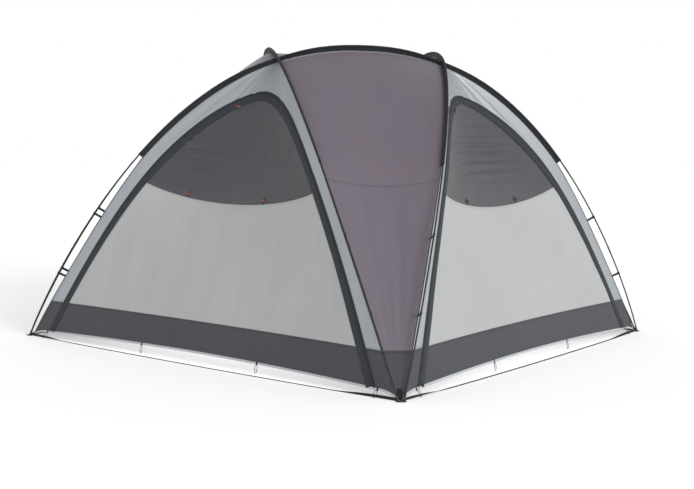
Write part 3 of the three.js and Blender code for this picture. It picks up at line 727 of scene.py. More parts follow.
def wall_grid(side):
    t = np.linspace(-1, 1, 181)
    inner = zip_line(t, MUD_WALL_HEIGHT, -DOOR_EDGE)
    inner[[0, -1], 1] = MUD_WALL_HEIGHT
    top = CROSS_Z - 0.004
    outer_z = MUD_WALL_HEIGHT + (top - MUD_WALL_HEIGHT) * (1 - np.abs(t) ** ARCH_SPACING)
    outer = np.stack([np.sign(t) * (side_edge(outer_z)[0] - SEAM_GAP), outer_z], axis=-1)
    share = np.linspace(0, 1, 17)[None, :, None]
    flat = inner[:, None, :] * (1 - share) + outer[:, None, :] * share
    return side_cloth_point(flat[..., 0], flat[..., 1], side)


def rows_between(low, high, rows, columns):
    """Shares across a cloth, and heights from one height line to another."""
    share = np.linspace(-1, 1, columns)[None, :]
    step = np.linspace(0, 1, rows)[:, None]
    return share, low(share) * (1 - step) + high(share) * step


def door_grid(low, high, rows, side):
    share, z = rows_between(low, high, rows, 81)
    return side_cloth_point(share * door_half(z), z, side)


def door_line(height, side):
    """Points across a door at a height line, with the cloth's normals there."""
    share = np.linspace(-1, 1, 121)
    z = height(share)
    x = share * door_half(z)
    return side_cloth_point(x, z, side), side_normal(x, z)


def mud_top(share):
    return MUD_WALL_HEIGHT + 0 * share


def door_head(share):
    return DOOR_LEAF_TOP + 0 * share


for side, angle in ANGLE_OF_SIDE.items():
    wall = panel(f"{side}_wall_cloth", wall_grid(side), WALL_CLOTH, angle)
    dress(wall, f"{side}_wall")
    for name, low, high, rows, material, slot, node in (
            ("door_cloth", mud_top, sill, 71, DOOR_CLOTH, "door_fabric", f"{side}_door"),
            ("door_mud_strip", hem, mud_top, 15, MUD_CLOTH, "mud_wall_fabric", None),
            ("window_mesh", sill, door_head, 91, INSECT_MESH, "mesh_fabric",
             f"{side}_door_mesh")):
        piece = panel(f"{side}_{name}", door_grid(low, high, rows, side), material, angle)
        dress(piece, node, door=side)
    for name, height, width, rise, material, slot in (
            ("sill_seam", sill, SEAM_WIDTH, SEAM_RISE, DOOR_CLOTH, "door_fabric"),
            ("door_mud_seam", mud_top, SEAM_WIDTH, SEAM_RISE, MUD_CLOTH, "mud_wall_fabric"),
            ("door_hem_binding", lambda share: hem(share) + HEM_TAPE_WIDTH / 2, HEM_TAPE_WIDTH,
             HEM_TAPE_RISE, HEM_TAPE, "wall_fabric")):
        line = door_line(height, side)
        dress(strip(f"{side}_{name}", line, width, rise, material, angle), door=side)

# %% [markdown]
# The zip runs under a dark band: a stiff tape, folded double, sewn along the door's edge so that
# rain runs off it. On one leg of each door the tape is folded under, and shows narrower. Outside
# it lies the other half of the zip, a nylon coil on a narrow tape that is sewn to the wall and
# stays with it. Both run over the mud wall down to the hem.

# %% Zip bands and coils
BAND_WIDTH, BAND_RISE = 0.054, 0.0035
FOLDED_BAND_WIDTH = 0.038
FOLDED_LEG = {"front": -1, "right": 1, "back": -1, "left": 1}
BAND_BOTTOM, COIL_BOTTOM = HEM_HEIGHT + 0.026, HEM_HEIGHT + 0.012
BAND_LIFT, WALL_TAPE_LIFT, COIL_LIFT = 2.6 * MM, 1.0 * MM, 1.2 * MM
COIL_WIDTH, COIL_RISE = 0.008, 0.0028
WALL_TAPE_WIDTH, WALL_TAPE_RISE = 0.014, 0.0008
ZIP_STATIONS = 241


def zip_path(inset, side, lift, bottom):
    x, z = zip_line(np.linspace(-1, 1, ZIP_STATIONS), bottom, inset).T
    return side_cloth_point(x, z, side, lift), side_normal(x, z)


for side, angle in ANGLE_OF_SIDE.items():
    folded = smooth(0.30, 0.65, FOLDED_LEG[side] * np.linspace(-1, 1, ZIP_STATIONS))
    widths = BAND_WIDTH + (FOLDED_BAND_WIDTH - BAND_WIDTH) * folded
    path = zip_path((widths + ZIP_GAP)[:, None] / 2, side, BAND_LIFT, BAND_BOTTOM)
    band = strip(f"{side}_door_band", path, widths, BAND_RISE, ZIP_TAPE, angle)
    dress(band, door=side)
    path = zip_path(-WALL_TAPE_WIDTH / 2, side, WALL_TAPE_LIFT, COIL_BOTTOM)
    dress(strip(f"{side}_zip_wall_tape", path, WALL_TAPE_WIDTH, WALL_TAPE_RISE, ZIP_TAPE, angle))
    path = zip_path(0.0, side, COIL_LIFT, COIL_BOTTOM)
    dress(strip(f"{side}_zip_coil", path, COIL_WIDTH, COIL_RISE, ZIP_COIL, angle))
print("zip bands:", BAND_WIDTH / MM, "mm wide")

# %% [markdown]
# Over each corner a wedge of aubergine cloth hangs between two legs that share a foot, and widens
# up to the pole that leans over it. It is two widths of cloth, joined by a cross seam that dips
# in the middle. Below it the mud wall wraps the corner, from the zip of one door to the next.

# %% The surface of a corner
CORNER_DIP, CROWN_DIP = 0.065, 0.030
CROSS_SEAM_HEIGHT, CROSS_SEAM_SAG = 1.330, 0.050
FOOT_HEM = 0.014
CORNER_FOLD = 0.0016
ARCH_S = np.linspace(-0.9, 0.9, 3601)
ARCH_ALONG, ARCH_ASIDE, ARCH_Z = seam(ARCH_S)


def arch_at(along):
    """Aside and height of the seam at a distance along a pole's span."""
    return np.interp(along, ARCH_ALONG, ARCH_ASIDE), np.interp(along, ARCH_ALONG, ARCH_Z)


def corner_point(share, height):
    share, height = np.broadcast_arrays(np.asarray(share, float), np.asarray(height, float))
    along, aside = seam_at(height)
    top_aside, top_z = arch_at(share * CROSS_ALONG)
    level = np.clip(height / CROSS_Z, 0, None)
    crown = level ** 8
    dip = (CORNER_DIP * np.sin(math.pi * np.minimum(1, level) ** 1.4)
           + CROWN_DIP * smooth(0.55, 0.85, level) * (1 - level ** 12)) * (1 - share ** 2)
    out = along - dip + crown * (top_aside - CROSS_ALONG)
    return np.stack([share * aside, -out, height + crown * (top_z - CROSS_Z)], axis=-1)


def corner_normal(share, height, reach=0.002):
    level = np.minimum(height, CROSS_Z - 2 * reach)
    across = corner_point(share + 0.02, level) - corner_point(share - 0.02, level)
    upward = corner_point(share, level + reach) - corner_point(share, level - reach)
    return unit(np.cross(across, upward))


def corner_cloth_point(share, height, phase):
    held = smooth(0, 0.25, 1 - np.abs(share)) * smooth(0, 0.15, height - MUD_WALL_HEIGHT)
    loose = 0.35 + 0.65 * smooth(-0.05, 0.1, CROSS_SEAM_HEIGHT - height)
    fold = np.sin(9 * share + 1.2 * height + phase) + 0.6 * np.sin(17 * share - 2 * height + phase)
    relief = CORNER_FOLD * fold * held * loose
    return corner_point(share, height) + corner_normal(share, height) * relief[..., None]


def cross_seam(share):
    return CROSS_SEAM_HEIGHT - CROSS_SEAM_SAG * (1 - share ** 2)


def corner_grid(low, high, rows, phase):
    share, height = rows_between(low, high, rows, 41)
    edge = 1 - SEAM_GAP / seam_at(height)[1]
    return corner_cloth_point(share * edge, height, phase)


def corner_hem(step):
    """The hem drops from the zip, where step is 0, to the foot, where it is 1."""
    return HEM_HEIGHT + (FOOT_HEM - HEM_HEIGHT) * np.asarray(step) ** 2.5


def mud_wall_grid(low, high, rows):
    """From the zip of one side, round the corner, to the zip of the next, facing -Y."""
    rise = np.linspace(0, 1, rows)[:, None]
    step = np.linspace(0, 1, 19)[None, :-1]
    z = low(step) * (1 - rise) + high(step) * rise
    inner, half = zip_half(z) + DOOR_EDGE, side_edge(z)[0]
    x = inner + (half - inner) * step
    left = turned(side_point(x, z), -math.pi / 4)
    right = turned(side_point(-x, z), math.pi / 4)[:, ::-1]
    share = np.linspace(-1, 1, 17)[None, :]
    wedge = corner_point(share, low(1 + 0 * share) * (1 - rise) + high(1 + 0 * share) * rise)
    return np.concatenate([left, wedge, right], axis=1)


print("corner wedge:", round(2 * float(seam_at(MUD_WALL_HEIGHT)[1]), 3), "m wide at the mud wall")

# %% [markdown]
# Each corner's cloths are cut from the surface above, and get their felled seams and a pale hem
# binding.

# %% Corner panels and mud walls
def corner_top(share):
    return CROSS_Z - SEAM_GAP + 0 * share


def corner_line(height, phase):
    share = np.linspace(-1, 1, 61)
    z = height(share)
    return corner_cloth_point(share, z, phase), corner_normal(share, z)


def mud_line(height):
    """A line across the whole of a corner's mud wall, with its normals."""
    grid = mud_wall_grid(lambda step: height(step) - MM, lambda step: height(step) + MM, 3)
    normals = np.cross(np.gradient(grid[1], axis=0), grid[2] - grid[0])
    return grid[1], unit(normals)


for corner, angle in ANGLE_OF_CORNER.items():
    phase = angle * 1.7
    for name, grid, material, slot, node in (
            ("upper_panel", corner_grid(cross_seam, corner_top, 61, phase), CORNER_CLOTH,
             "corner_fabric", f"{corner}_panel"),
            ("lower_panel", corner_grid(mud_top, cross_seam, 49, phase), CORNER_CLOTH,
             "corner_fabric", None),
            ("mud_wall_cloth", mud_wall_grid(corner_hem, mud_top, 15), MUD_CLOTH,
             "mud_wall_fabric", f"{corner}_mud_wall")):
        piece = panel(f"{corner}_{name}", grid, material, angle)
        dress(piece, node)
    for name, line, width, rise, material, slot in (
            ("cross_seam", corner_line(cross_seam, phase), SEAM_WIDTH, SEAM_RISE, CORNER_CLOTH,
             "corner_fabric"),
            ("mud_seam", mud_line(mud_top), SEAM_WIDTH, SEAM_RISE, MUD_CLOTH, "mud_wall_fabric"),
            ("hem_binding", mud_line(lambda step: corner_hem(step) + HEM_TAPE_WIDTH / 2),
             HEM_TAPE_WIDTH, HEM_TAPE_RISE, HEM_TAPE, "wall_fabric")):
        dress(strip(f"{corner}_{name}", line, width, rise, material, angle))
print("corners dressed")

# %% [markdown]
# The roof is a square between the four bows, its corners at the crossings. It is dished a little
# between the poles, as cloth that is pulled along two bows at once always is.

# %% Roof
limit = 1 - SEAM_GAP / CROSS_ALONG
share = np.linspace(-limit, limit, 61)
row, column = np.meshgrid(share, share, indexing="ij")
bow_out = [arch_at(part * CROSS_ALONG)[0] - CROSS_ALONG for part in (row, column)]
rise = [arch_at(part * CROSS_ALONG)[1] - CROSS_Z for part in (row, column)]
roof_z = CROSS_Z + (rise[1] * (1 + 2 * row ** 2) + rise[0] * (1 + 2 * column ** 2)) / 3
roof_points = np.stack([column * (CROSS_ALONG + bow_out[0]), row * (CROSS_ALONG + bow_out[1]),
                        roof_z], axis=-1)
roof = panel("roof_cloth", roof_points, CORNER_CLOTH, math.pi / 4)
dress(roof, "roof")

# %% [markdown]
# A pole is one long rod here, though it really is nine tubes on a shock cord, joined by steel
# ferrules. Where two poles cross, one is lifted over the other. Poles and ferrules are round
# outlines swept along the bow, and the canopy's long seam is a dark piping swept under each one.

# %% Poles, ferrules and seams
SLEEVE_BORE = POLE_DIAMETER / 2 + 0.0011
SLEEVE_THICKNESS = 0.0014
SLEEVE_RADIUS = SLEEVE_BORE + SLEEVE_THICKNESS
CROSSING_SPREAD = 0.09
CROSSING_LIFT = SLEEVE_RADIUS + 0.001
POLE_SECTIONS = 9
FERRULE_LENGTH, FERRULE_RADIUS = 0.060, 0.0064
PIPING_RADIUS, PIPING_REACH = 0.0028, 0.997
ABOVE = {corner: i % 2 == 1 for i, corner in enumerate(CORNERS)}


def pole_line(s, above):
    """The pole's own line: lifted, or pressed down, where another one crosses it."""
    distance = (np.abs(s) - POLE_CROSSING_S) / CROSSING_SPREAD
    lift = (1 if above else -1) * CROSSING_LIFT * np.exp(-distance ** 2)
    return bow(s) + bow_outward(s) * lift[:, None], lift


def circle(radius, sides=12):
    turn = np.arange(sides) * 2 * math.pi / sides
    return np.stack([np.cos(turn), np.sin(turn)], -1) * radius


def along_pole(name, s, outline, material, corner):
    """An outline swept along a stretch of a pole."""
    return sweep(f"{corner}_{name}", pole_line(s, ABOVE[corner])[0], OFF_PLANE, bow_outward(s),
                 outline, material, ANGLE_OF_CORNER[corner])


def station_at(height):
    """How far along a leg the pole reaches a height."""
    heights = bow(SAMPLES)[:, 2]
    return float(np.interp(height, heights[::-1], SAMPLES[::-1]))


POLE_END_S = station_at(POLE_END_HEIGHT)
RUN = np.concatenate([[0], np.cumsum(np.linalg.norm(np.diff(bow(SAMPLES), axis=0), axis=1))])
FULL_RUN = float(np.interp(POLE_END_S, SAMPLES, RUN))


def stretch(middle, length, count):
    """Stations that cover a length of pole on the right leg, around a place along it."""
    return np.interp(np.linspace(middle - length / 2, middle + length / 2, count), RUN, SAMPLES)


for corner, angle in ANGLE_OF_CORNER.items():
    even = np.linspace(-POLE_END_S, POLE_END_S, 241)
    pole = along_pole("pole_rod", even, circle(POLE_DIAMETER / 2), FIBREGLASS, corner)
    dress(pole, f"{corner}_pole")
    for i in (1, 2):
        s = stretch((1 - 2 * i / POLE_SECTIONS) * FULL_RUN, FERRULE_LENGTH, 7)
        for leg_name, leg in LEGS.items():
            dress(along_pole(f"ferrule_{leg_name}_{i}", leg * s, circle(FERRULE_RADIUS), FERRULE,
                             corner))
    s = np.linspace(-PIPING_REACH, PIPING_REACH, 301)
    along, aside, z = seam(s)
    line, normals = np.stack([along, -aside, z], -1), bow_outward(s)
    dress(sweep(f"{corner}_long_seam", line, on_surface(line, normals), normals,
                circle(PIPING_RADIUS, 8), PIPING, angle))
print("poles:", len(ANGLE_OF_CORNER), "of", round(2 * FULL_RUN, 2), "m")

# %% [markdown]
# A sleeve is a strip of oxford cloth folded over the pole, with both edges sewn into the canopy's
# long seam. It puckers a little round the pole and ripples along the strip. Where two sleeves
# cross, the upper one is cut away over the lower one. On the tent a gusset of the same cloth,
# folded over the crossing, keeps rain out of the notch; that gusset is not drawn here. Each end
# has a bar of webbing, because pushing the pole in wears it.

# %% Sleeves
SLEEVE_END_S = station_at(SLEEVE_END_HEIGHT)
NOTCH_S = (SLEEVE_RADIUS + 0.008) / HALF_DIAGONAL
SLEEVE_SLIT = 0.3 * MM
FOLD_END = math.radians(60)
PUCKER = 0.05
RIPPLE = 1.3 * MM
BAR_LENGTH, BAR_INSET, BAR_LIFT, BAR_THICKNESS = 0.020, 0.008, 0.8 * MM, 1.2 * MM


def sleeve_outline(depth, radius, sway, thickness=SLEEVE_THICKNESS):
    """The fold over the pole, down to the seam and back up inside."""
    turn = np.linspace(-FOLD_END, math.pi + FOLD_END, 15)
    arc = np.stack([np.cos(turn), np.sin(turn)], -1)
    steps = np.linspace(0, 1, 4)[1:, None]

    def leg(side, offset, radius_here):
        top = np.array((math.cos(FOLD_END) * side, -math.sin(FOLD_END))) * radius_here
        return top * (1 - steps) + np.array((side * offset + sway, -depth)) * steps

    outside, inner = SLEEVE_SLIT + thickness, radius - thickness
    return np.concatenate([leg(1, outside, radius)[::-1], arc * radius, leg(-1, outside, radius),
                           leg(-1, SLEEVE_SLIT, inner)[::-1], arc[::-1] * inner,
                           leg(1, SLEEVE_SLIT, inner)])


def sleeve_stations():
    """Even stations, with closer ones where another pole crosses."""
    close = [sign * (POLE_CROSSING_S + offset) for sign in (-1, 1)
             for offset in np.linspace(-2.2, 2.2, 23) * NOTCH_S]
    return np.unique(np.concatenate([np.linspace(-SLEEVE_END_S, SLEEVE_END_S, 261), close]))


for corner, angle in ANGLE_OF_CORNER.items():
    s = sleeve_stations()
    distance = np.abs(np.abs(s) - POLE_CROSSING_S) / NOTCH_S
    depth = SLEEVE_DEPTH + pole_line(s, ABOVE[corner])[1] + 0.001
    if ABOVE[corner]:
        depth = SLEEVE_RADIUS + (depth - SLEEVE_RADIUS) * smooth(0.9, 1.6, distance)
    pucker = 1 + PUCKER * np.sin(190 * s + angle) * np.sin(47 * s)
    sway = RIPPLE * np.sin(83 * s + 2 * angle) * np.sin(31 * s + 1)
    outlines = np.stack([sleeve_outline(*each) for each in zip(depth, SLEEVE_RADIUS * pucker, sway)])
    dress(along_pole("sleeve_cloth", s, outlines, SLEEVE_CLOTH, corner),
          f"{corner}_sleeve")
    bar_outline = sleeve_outline(SLEEVE_DEPTH, SLEEVE_RADIUS + BAR_LIFT, 0.0, BAR_THICKNESS)
    end = np.interp(SLEEVE_END_S, SAMPLES, RUN) - BAR_INSET
    for leg_name, leg in LEGS.items():
        s = np.sort(leg * stretch(end, BAR_LENGTH, 5))
        dress(along_pole(f"sleeve_bar_{leg_name}", s, bar_outline, WEBBING, corner))
print("sleeves:", round(2 * SLEEVE_END_S * HALF_DIAGONAL, 2), "m across")

# %% [markdown]
# The hard pieces are small mouldings and pressings, modelled from a primitive by hand, once, and
# copied. These few helpers pick faces by where they are, take a modifier into the mesh, and put a
# copy with its own mesh where it belongs.

# %% Helpers for hand modelling
def pick(piece, kind, test):
    """In edit mode, selects the faces, edges or vertices that pass a test."""
    bpy.ops.mesh.select_mode(type=kind)
    bpy.ops.mesh.select_all(action="DESELECT")
    mesh = bmesh.from_edit_mesh(piece.data)
    for part in {"FACE": mesh.faces, "EDGE": mesh.edges, "VERT": mesh.verts}[kind]:
        part.select_set(bool(test(part)))
    bmesh.update_edit_mesh(piece.data)


def taken_up(name, material):
    """The primitive that was just added, scaled into its mesh, named, and open for editing."""
    piece = bpy.context.active_object
    bpy.ops.object.transform_apply(location=True, rotation=True, scale=True)
    piece.name = piece.data.name = name
    piece.data.materials.append(material)
    bpy.ops.object.mode_set(mode="EDIT")
    return piece


def block(name, material, size, place):
    """A cube drawn out to a size at a place, open for editing."""
    bpy.ops.mesh.primitive_cube_add(size=1, location=place)
    bpy.context.active_object.scale = size
    return taken_up(name, material)


def sink(edge, value):
    """Insets the picked faces, and moves what is inside the edge."""
    bpy.ops.mesh.inset(thickness=edge)
    bpy.ops.mesh.extrude_region_move(TRANSFORM_OT_translate={"value": value})


def apply_modifier(piece, kind, **settings):
    modifier = piece.modifiers.new(kind.lower(), kind)
    for key, value in settings.items():
        setattr(modifier, key, value)
    bpy.ops.object.modifier_apply(modifier=modifier.name)


def finished(piece, edge, angle=math.radians(30)):
    """Back in object mode: rounded edges, smooth shading, faces outwards."""
    bpy.ops.mesh.select_all(action="SELECT")
    bpy.ops.mesh.remove_doubles(threshold=0.01 * MM)
    bpy.ops.mesh.normals_make_consistent(inside=False)
    bpy.ops.object.mode_set(mode="OBJECT")
    apply_modifier(piece, "BEVEL", width=edge, segments=2, limit_method="ANGLE", angle_limit=angle)
    bpy.ops.object.shade_smooth_by_angle(angle=angle)


def placed(source, name, matrix):
    """A copy with its own mesh, put in place."""
    copy = source.copy()
    copy.data = source.data.copy()
    copy.name = copy.data.name = name
    copy.data.transform(matrix)
    bpy.context.scene.collection.objects.link(copy)
    return copy


def frame_matrix(origin, across, upward, outward, angle):
    """Puts a piece's own X, Y and Z along three directions, then turns it about the vertical."""
    columns = [Vector(turned(axis, angle)) for axis in (across, upward, outward)]
    return Matrix.LocRotScale(Vector(turned(origin, angle)), Matrix(columns).transposed(), None)

# %% [markdown]
# A clip is a C-shaped hook, injection moulded, that snaps over the pole, with an eye for a short
# webbing tape that is sewn into the canopy's seam. Two hold each leg to the canopy below the
# sleeve. The hook starts as an open tube, loses the faces of its mouth, and gets its wall, its
# rounded edges and the eye.

# %% Clips
CLIP_HEIGHTS = {"lower": 0.510, "upper": 0.980}
CLIP_WIDTH, CLIP_WALL, CLIP_EASE = 0.020, 0.0025, 0.0005
CLIP_RIM = POLE_DIAMETER / 2 + CLIP_EASE + CLIP_WALL
CLIP_MOUTH = (math.radians(-75), math.radians(-15))
CLIP_TAPE_WIDTH, CLIP_TAPE_THICKNESS, CLIP_TAPE_SAG = 0.018, 0.0030, 0.0012
EYE = {"depth": 0.007, "height": 0.0085, "overlap": 0.0012, "rim": 0.0014, "hollow": 0.0025}


def in_mouth(face):
    middle = face.calc_center_median()
    return CLIP_MOUTH[0] < math.atan2(middle.y, middle.x) < CLIP_MOUTH[1]


bpy.ops.mesh.primitive_cylinder_add(vertices=48, radius=CLIP_RIM, depth=CLIP_WIDTH,
                                    end_fill_type="NOTHING")
hook = taken_up("clip_hook", MOULDING)
pick(hook, "FACE", in_mouth)
bpy.ops.mesh.delete(type="FACE")
bpy.ops.object.mode_set(mode="OBJECT")
apply_modifier(hook, "SOLIDIFY", thickness=CLIP_WALL, offset=-1)
bpy.ops.object.mode_set(mode="EDIT")
finished(hook, 0.5 * MM)

eye = block("clip_eye", MOULDING, (EYE["depth"], EYE["height"], CLIP_WIDTH),
            (CLIP_RIM + EYE["depth"] / 2 - EYE["overlap"], 0, 0))
pick(eye, "FACE", lambda face: face.normal.x > 0.9)
sink(EYE["rim"], (-EYE["hollow"], 0, 0))
finished(eye, 0.5 * MM)
hook.select_set(True)
bpy.context.view_layer.objects.active = hook
bpy.ops.object.join()


def clip_tape(name, length, matrix):
    """A flat tape from the eye to the seam, with its stitched fold at the eye."""
    step = np.linspace(0, 1, 9)
    x = np.linspace(CLIP_RIM + 1.5 * MM, length, 9)
    rises = CLIP_TAPE_THICKNESS * (1 + 0.8 * (1 - smooth(0, 0.25, step)))
    centres = np.stack([x, CLIP_TAPE_SAG * np.sin(math.pi * step), 0 * x], -1)
    outlines = np.stack([strip_outline(CLIP_TAPE_WIDTH, rise, 0.0, 4) - (0, rise / 2)
                         for rise in rises])
    tape = sweep(name, centres, (0, 0, 1), (0, 1, 0), outlines, WEBBING)
    tape.data.transform(matrix)
    return tape


for corner, angle in ANGLE_OF_CORNER.items():
    for leg_name, leg in LEGS.items():
        for level, height in CLIP_HEIGHTS.items():
            s = -leg * station_at(height)
            inward, tangent = -bow_outward(s), bow_tangent(s)
            matrix = frame_matrix(bow(s), inward, np.cross(tangent, inward), tangent,
                                  angle + leg * math.pi / 2)
            name = f"{corner}_clip_{leg_name}_{level}"
            dress(placed(hook, f"{name}_hook", matrix), name)
            dress(clip_tape(f"{name}_tape", float(seam_depth(height)), matrix))
bpy.data.objects.remove(hook)
print("clips:", len(ANGLE_OF_CORNER) * 4)

# %% [markdown]
# A foot is a pressed steel plate, painted black, with a pin for each of the two poles that meet
# there, and a steel ring for a peg. A webbing gusset is sewn over the corner of the mud wall,
# where it is gathered, and runs down to the plate. The pole ends wear black caps.

# %% Feet
FOOT = {"length": 0.066, "width": 0.034, "thickness": 0.005, "corner": 0.010, "rim": 0.003}
PIN_RADIUS, PIN_LENGTH = 0.003, 0.030
CAP_RADIUS, CAP_LENGTH, CAP_TAPER = 0.0075, 0.035, 0.12
STRAIGHT_STATIONS = 7
RING_RADIUS, RING_WIRE = 0.011, 0.0017
GUSSET = {"foot": 0.022, "hem": 0.036, "thickness": 0.0020, "lap": 0.055, "lift": 0.0025}
ACROSS, INTO, UPRIGHT = np.eye(3)

plate = block("foot_plate", FERRULE, (FOOT["length"], FOOT["width"], FOOT["thickness"]),
              (0, 0, FOOT["thickness"] / 2))
pick(plate, "EDGE", lambda edge: abs(edge.verts[0].co.z - edge.verts[1].co.z) > MM)
bpy.ops.mesh.bevel(offset=FOOT["corner"], segments=1, affect="EDGES")
pick(plate, "FACE", lambda face: face.normal.z > 0.9)
sink(FOOT["rim"], (0, 0, -MM))
finished(plate, 0.6 * MM)

bpy.ops.mesh.primitive_torus_add(major_segments=32, minor_segments=10, major_radius=RING_RADIUS,
                                 minor_radius=RING_WIRE)
ring = taken_up("peg_ring", STEEL)
pick(ring, "VERT", lambda vertex: vertex.co.y > 0)
bpy.ops.transform.resize(value=(1.25, 0.45, 1))
bpy.ops.mesh.select_mode(type="FACE")
bpy.ops.object.mode_set(mode="OBJECT")
bpy.ops.object.shade_smooth()


def gusset_line():
    """From the foot up to the hem's corner, and on up the mud wall."""
    lift = (0, -GUSSET["lift"], 0)
    stops = np.array([(0, -HALF_DIAGONAL - 0.006, FOOT["thickness"] + MM),
                      corner_point(0.0, FOOT_HEM + 8 * MM) + lift,
                      corner_point(0.0, FOOT_HEM + GUSSET["lap"]) + lift])
    step = np.linspace(0, 2, 17)
    return np.stack([np.interp(step, (0, 1, 2), stops[:, i]) for i in range(3)], -1), step / 2


def straight(name, first, last, outline, material, turn):
    """An outline swept along a straight stretch at a pole's end."""
    return sweep(name, np.linspace(first, last, STRAIGHT_STATIONS), OFF_PLANE,
                 unit(np.cross(OFF_PLANE, last - first)), outline, material, turn)


for corner, angle in ANGLE_OF_CORNER.items():
    dress(placed(plate, f"{corner}_foot_plate", frame_matrix(
        (0, -HALF_DIAGONAL, 0), ACROSS, INTO, UPRIGHT, angle)), f"{corner}_foot")
    ring_place = (0, -HALF_DIAGONAL - FOOT["width"] / 2 - RING_RADIUS * 0.35,
                  FOOT["thickness"] * 0.5 + RING_WIRE)
    dress(placed(ring, f"{corner}_peg_ring", frame_matrix(
        ring_place, ACROSS, INTO, UPRIGHT, angle)))
    for leg_name, leg in LEGS.items():
        end, upward = bow(-leg * POLE_END_S), bow_tangent(-leg * POLE_END_S) * leg
        turn = angle + leg * math.pi / 2
        low = end - upward * (POLE_END_HEIGHT - FOOT["thickness"] / 2) / upward[2]
        dress(straight(f"{corner}_pin_{leg_name}", low, end + upward * PIN_LENGTH,
                       circle(PIN_RADIUS), STEEL, turn))
        radii = CAP_RADIUS * (1 - CAP_TAPER * np.linspace(0, 1, STRAIGHT_STATIONS) ** 3)
        dress(straight(f"{corner}_pole_cap_{leg_name}", end - upward * MM,
                       end + upward * CAP_LENGTH, np.stack([circle(each) for each in radii]),
                       MOULDING, turn))
    centres, step = gusset_line()
    width = GUSSET["foot"] + (GUSSET["hem"] - GUSSET["foot"]) * smooth(0, 0.62, step)
    pleat = 1 + 0.5 * np.sin(step * 23) * (1 - step)
    outlines = np.stack([strip_outline(each, GUSSET["thickness"] * fold, 0.2 * MM, 12)
                         for each, fold in zip(width, pleat)])
    upward = unit(np.gradient(centres, axis=0))
    dress(sweep(f"{corner}_corner_gusset", centres, ACROSS, np.cross(ACROSS, upward), outlines,
                WEBBING, angle))
for source in (plate, ring):
    bpy.data.objects.remove(source)
print("feet:", len(ANGLE_OF_CORNER))

# %% [markdown]
# A webbing band lies on the ground between each two feet, and holds them at their distance. It
# bows out a little. It lies flat along its middle, and twists on edge where it comes to a foot.

# %% Ground webbing
GROUND = {"width": 0.020, "thickness": 0.0016, "lift": 0.0004, "bow": 0.030, "end": 0.022}
TWIST = math.radians(78)


def webbing_out(share):
    return HALF_SPAN + GROUND["bow"] * (1 - share ** 2)


share = np.linspace(-1, 1, 161)
twist = TWIST * smooth(0.70, 0.97, np.abs(share)) * np.sign(share)
half_height = (GROUND["width"] * np.abs(np.sin(twist)) + GROUND["thickness"] * np.cos(twist)) / 2
centres = np.stack([share * (HALF_SPAN - GROUND["end"]), -webbing_out(share),
                    GROUND["lift"] + half_height], -1)
across = np.stack([0 * share, np.cos(twist), np.sin(twist)], -1)
upward = np.stack([0 * share, -np.sin(twist), np.cos(twist)], -1)
outline = strip_outline(GROUND["width"], GROUND["thickness"]) - (0, GROUND["thickness"] / 2)
for side, angle in ANGLE_OF_SIDE.items():
    dress(sweep(f"{side}_ground_band", centres, across, upward, outline, WEBBING, angle),
          f"{side}_ground_webbing")

# %% [markdown]
# Along the hem, folded tabs of webbing hold loops of cord for pegs. The one beside each foot of the
# zip is drawn out over the ground band, and the two on the door's own hem just hang.

# %% Pegging loops
LOOP_CORD_RADIUS, LOOP_HALF_WIDTH, LOOP_SAG = 0.0020, 0.0130, 0.012
HANGING_LOOP, HANGING_OUT, PEG_OUT = 0.058, 0.012, 0.018
TAB_WIDTH, TAB_LENGTH, TAB_RISE, TAB_LIFT = 0.013, 0.020, 2.2 * MM, 0.8 * MM
LOOP_PLACES = {"left_end": -1.0, "left": -0.36, "right": 0.36, "right_end": 1.0}
LOOP_BESIDE_ZIP = 0.022


def loop_points(start, end):
    """A closed, slightly drop-shaped loop between two points."""
    turn = np.linspace(0, 2 * math.pi, 33)[:-1]
    along = (1 - np.cos(turn)) / 2
    aside = np.sin(turn) * LOOP_HALF_WIDTH * (0.55 + 0.45 * along)
    rise = LOOP_SAG * np.sin(math.pi * along)
    return start + (end - start) * along[:, None] + np.stack([aside, 0 * turn, rise], -1)


def closed_tube(name, points, radius, material):
    """A round cord whose end meets its beginning."""
    sides = 8
    along = unit(np.roll(points, -1, axis=0) - np.roll(points, 1, axis=0))
    middle = points.mean(axis=0)
    plane = unit(np.cross(points[0] - middle, points[len(points) // 4] - middle))
    side = unit(np.cross(along, plane))
    rings = (points[:, None] + side[:, None] * circle(radius, sides)[:, :1]
             + plane * circle(radius, sides)[:, 1:])
    faces = quads(len(points) + 1, sides, closed=True) % (len(points) * sides)
    run = np.broadcast_to(lengths(points[:, None], 0), (len(points), sides))
    girth = np.broadcast_to(np.arange(sides) * 2 * math.pi * radius / sides, run.shape)
    uvs = np.stack([run, girth], -1).reshape(-1, 2)
    return faces_outward(finish_mesh(name, rings.reshape(-1, 3), faces, uvs, material))


for side, angle in ANGLE_OF_SIDE.items():
    for name, share in LOOP_PLACES.items():
        door = side if abs(share) < 1 else None
        z = float(hem(share)) if door else HEM_HEIGHT
        x = share * (float(zip_half(z)) + (0 if door else LOOP_BESIDE_ZIP))
        top = side_cloth_point(np.array(x), np.array(z), side)
        if door:
            peg = top + (0, -HANGING_OUT, -HANGING_LOOP)
        else:
            peg = np.array((x, -webbing_out(x / HALF_SPAN) - PEG_OUT, LOOP_CORD_RADIUS + 0.4 * MM))
        cord = closed_tube(f"{side}_peg_loop_{name}", turned(loop_points(top, peg), angle),
                           LOOP_CORD_RADIUS, ELASTIC)
        dress(cord, door=door)
        line_z = np.linspace(z - 0.006, z + TAB_LENGTH, 6)
        line_x = np.full_like(line_z, x)
        line = side_cloth_point(line_x, line_z, side, TAB_LIFT), side_normal(line_x, line_z)
        tab = strip(f"{side}_peg_tab_{name}", line, TAB_WIDTH, TAB_RISE, WEBBING, angle)
        dress(tab, door=door)
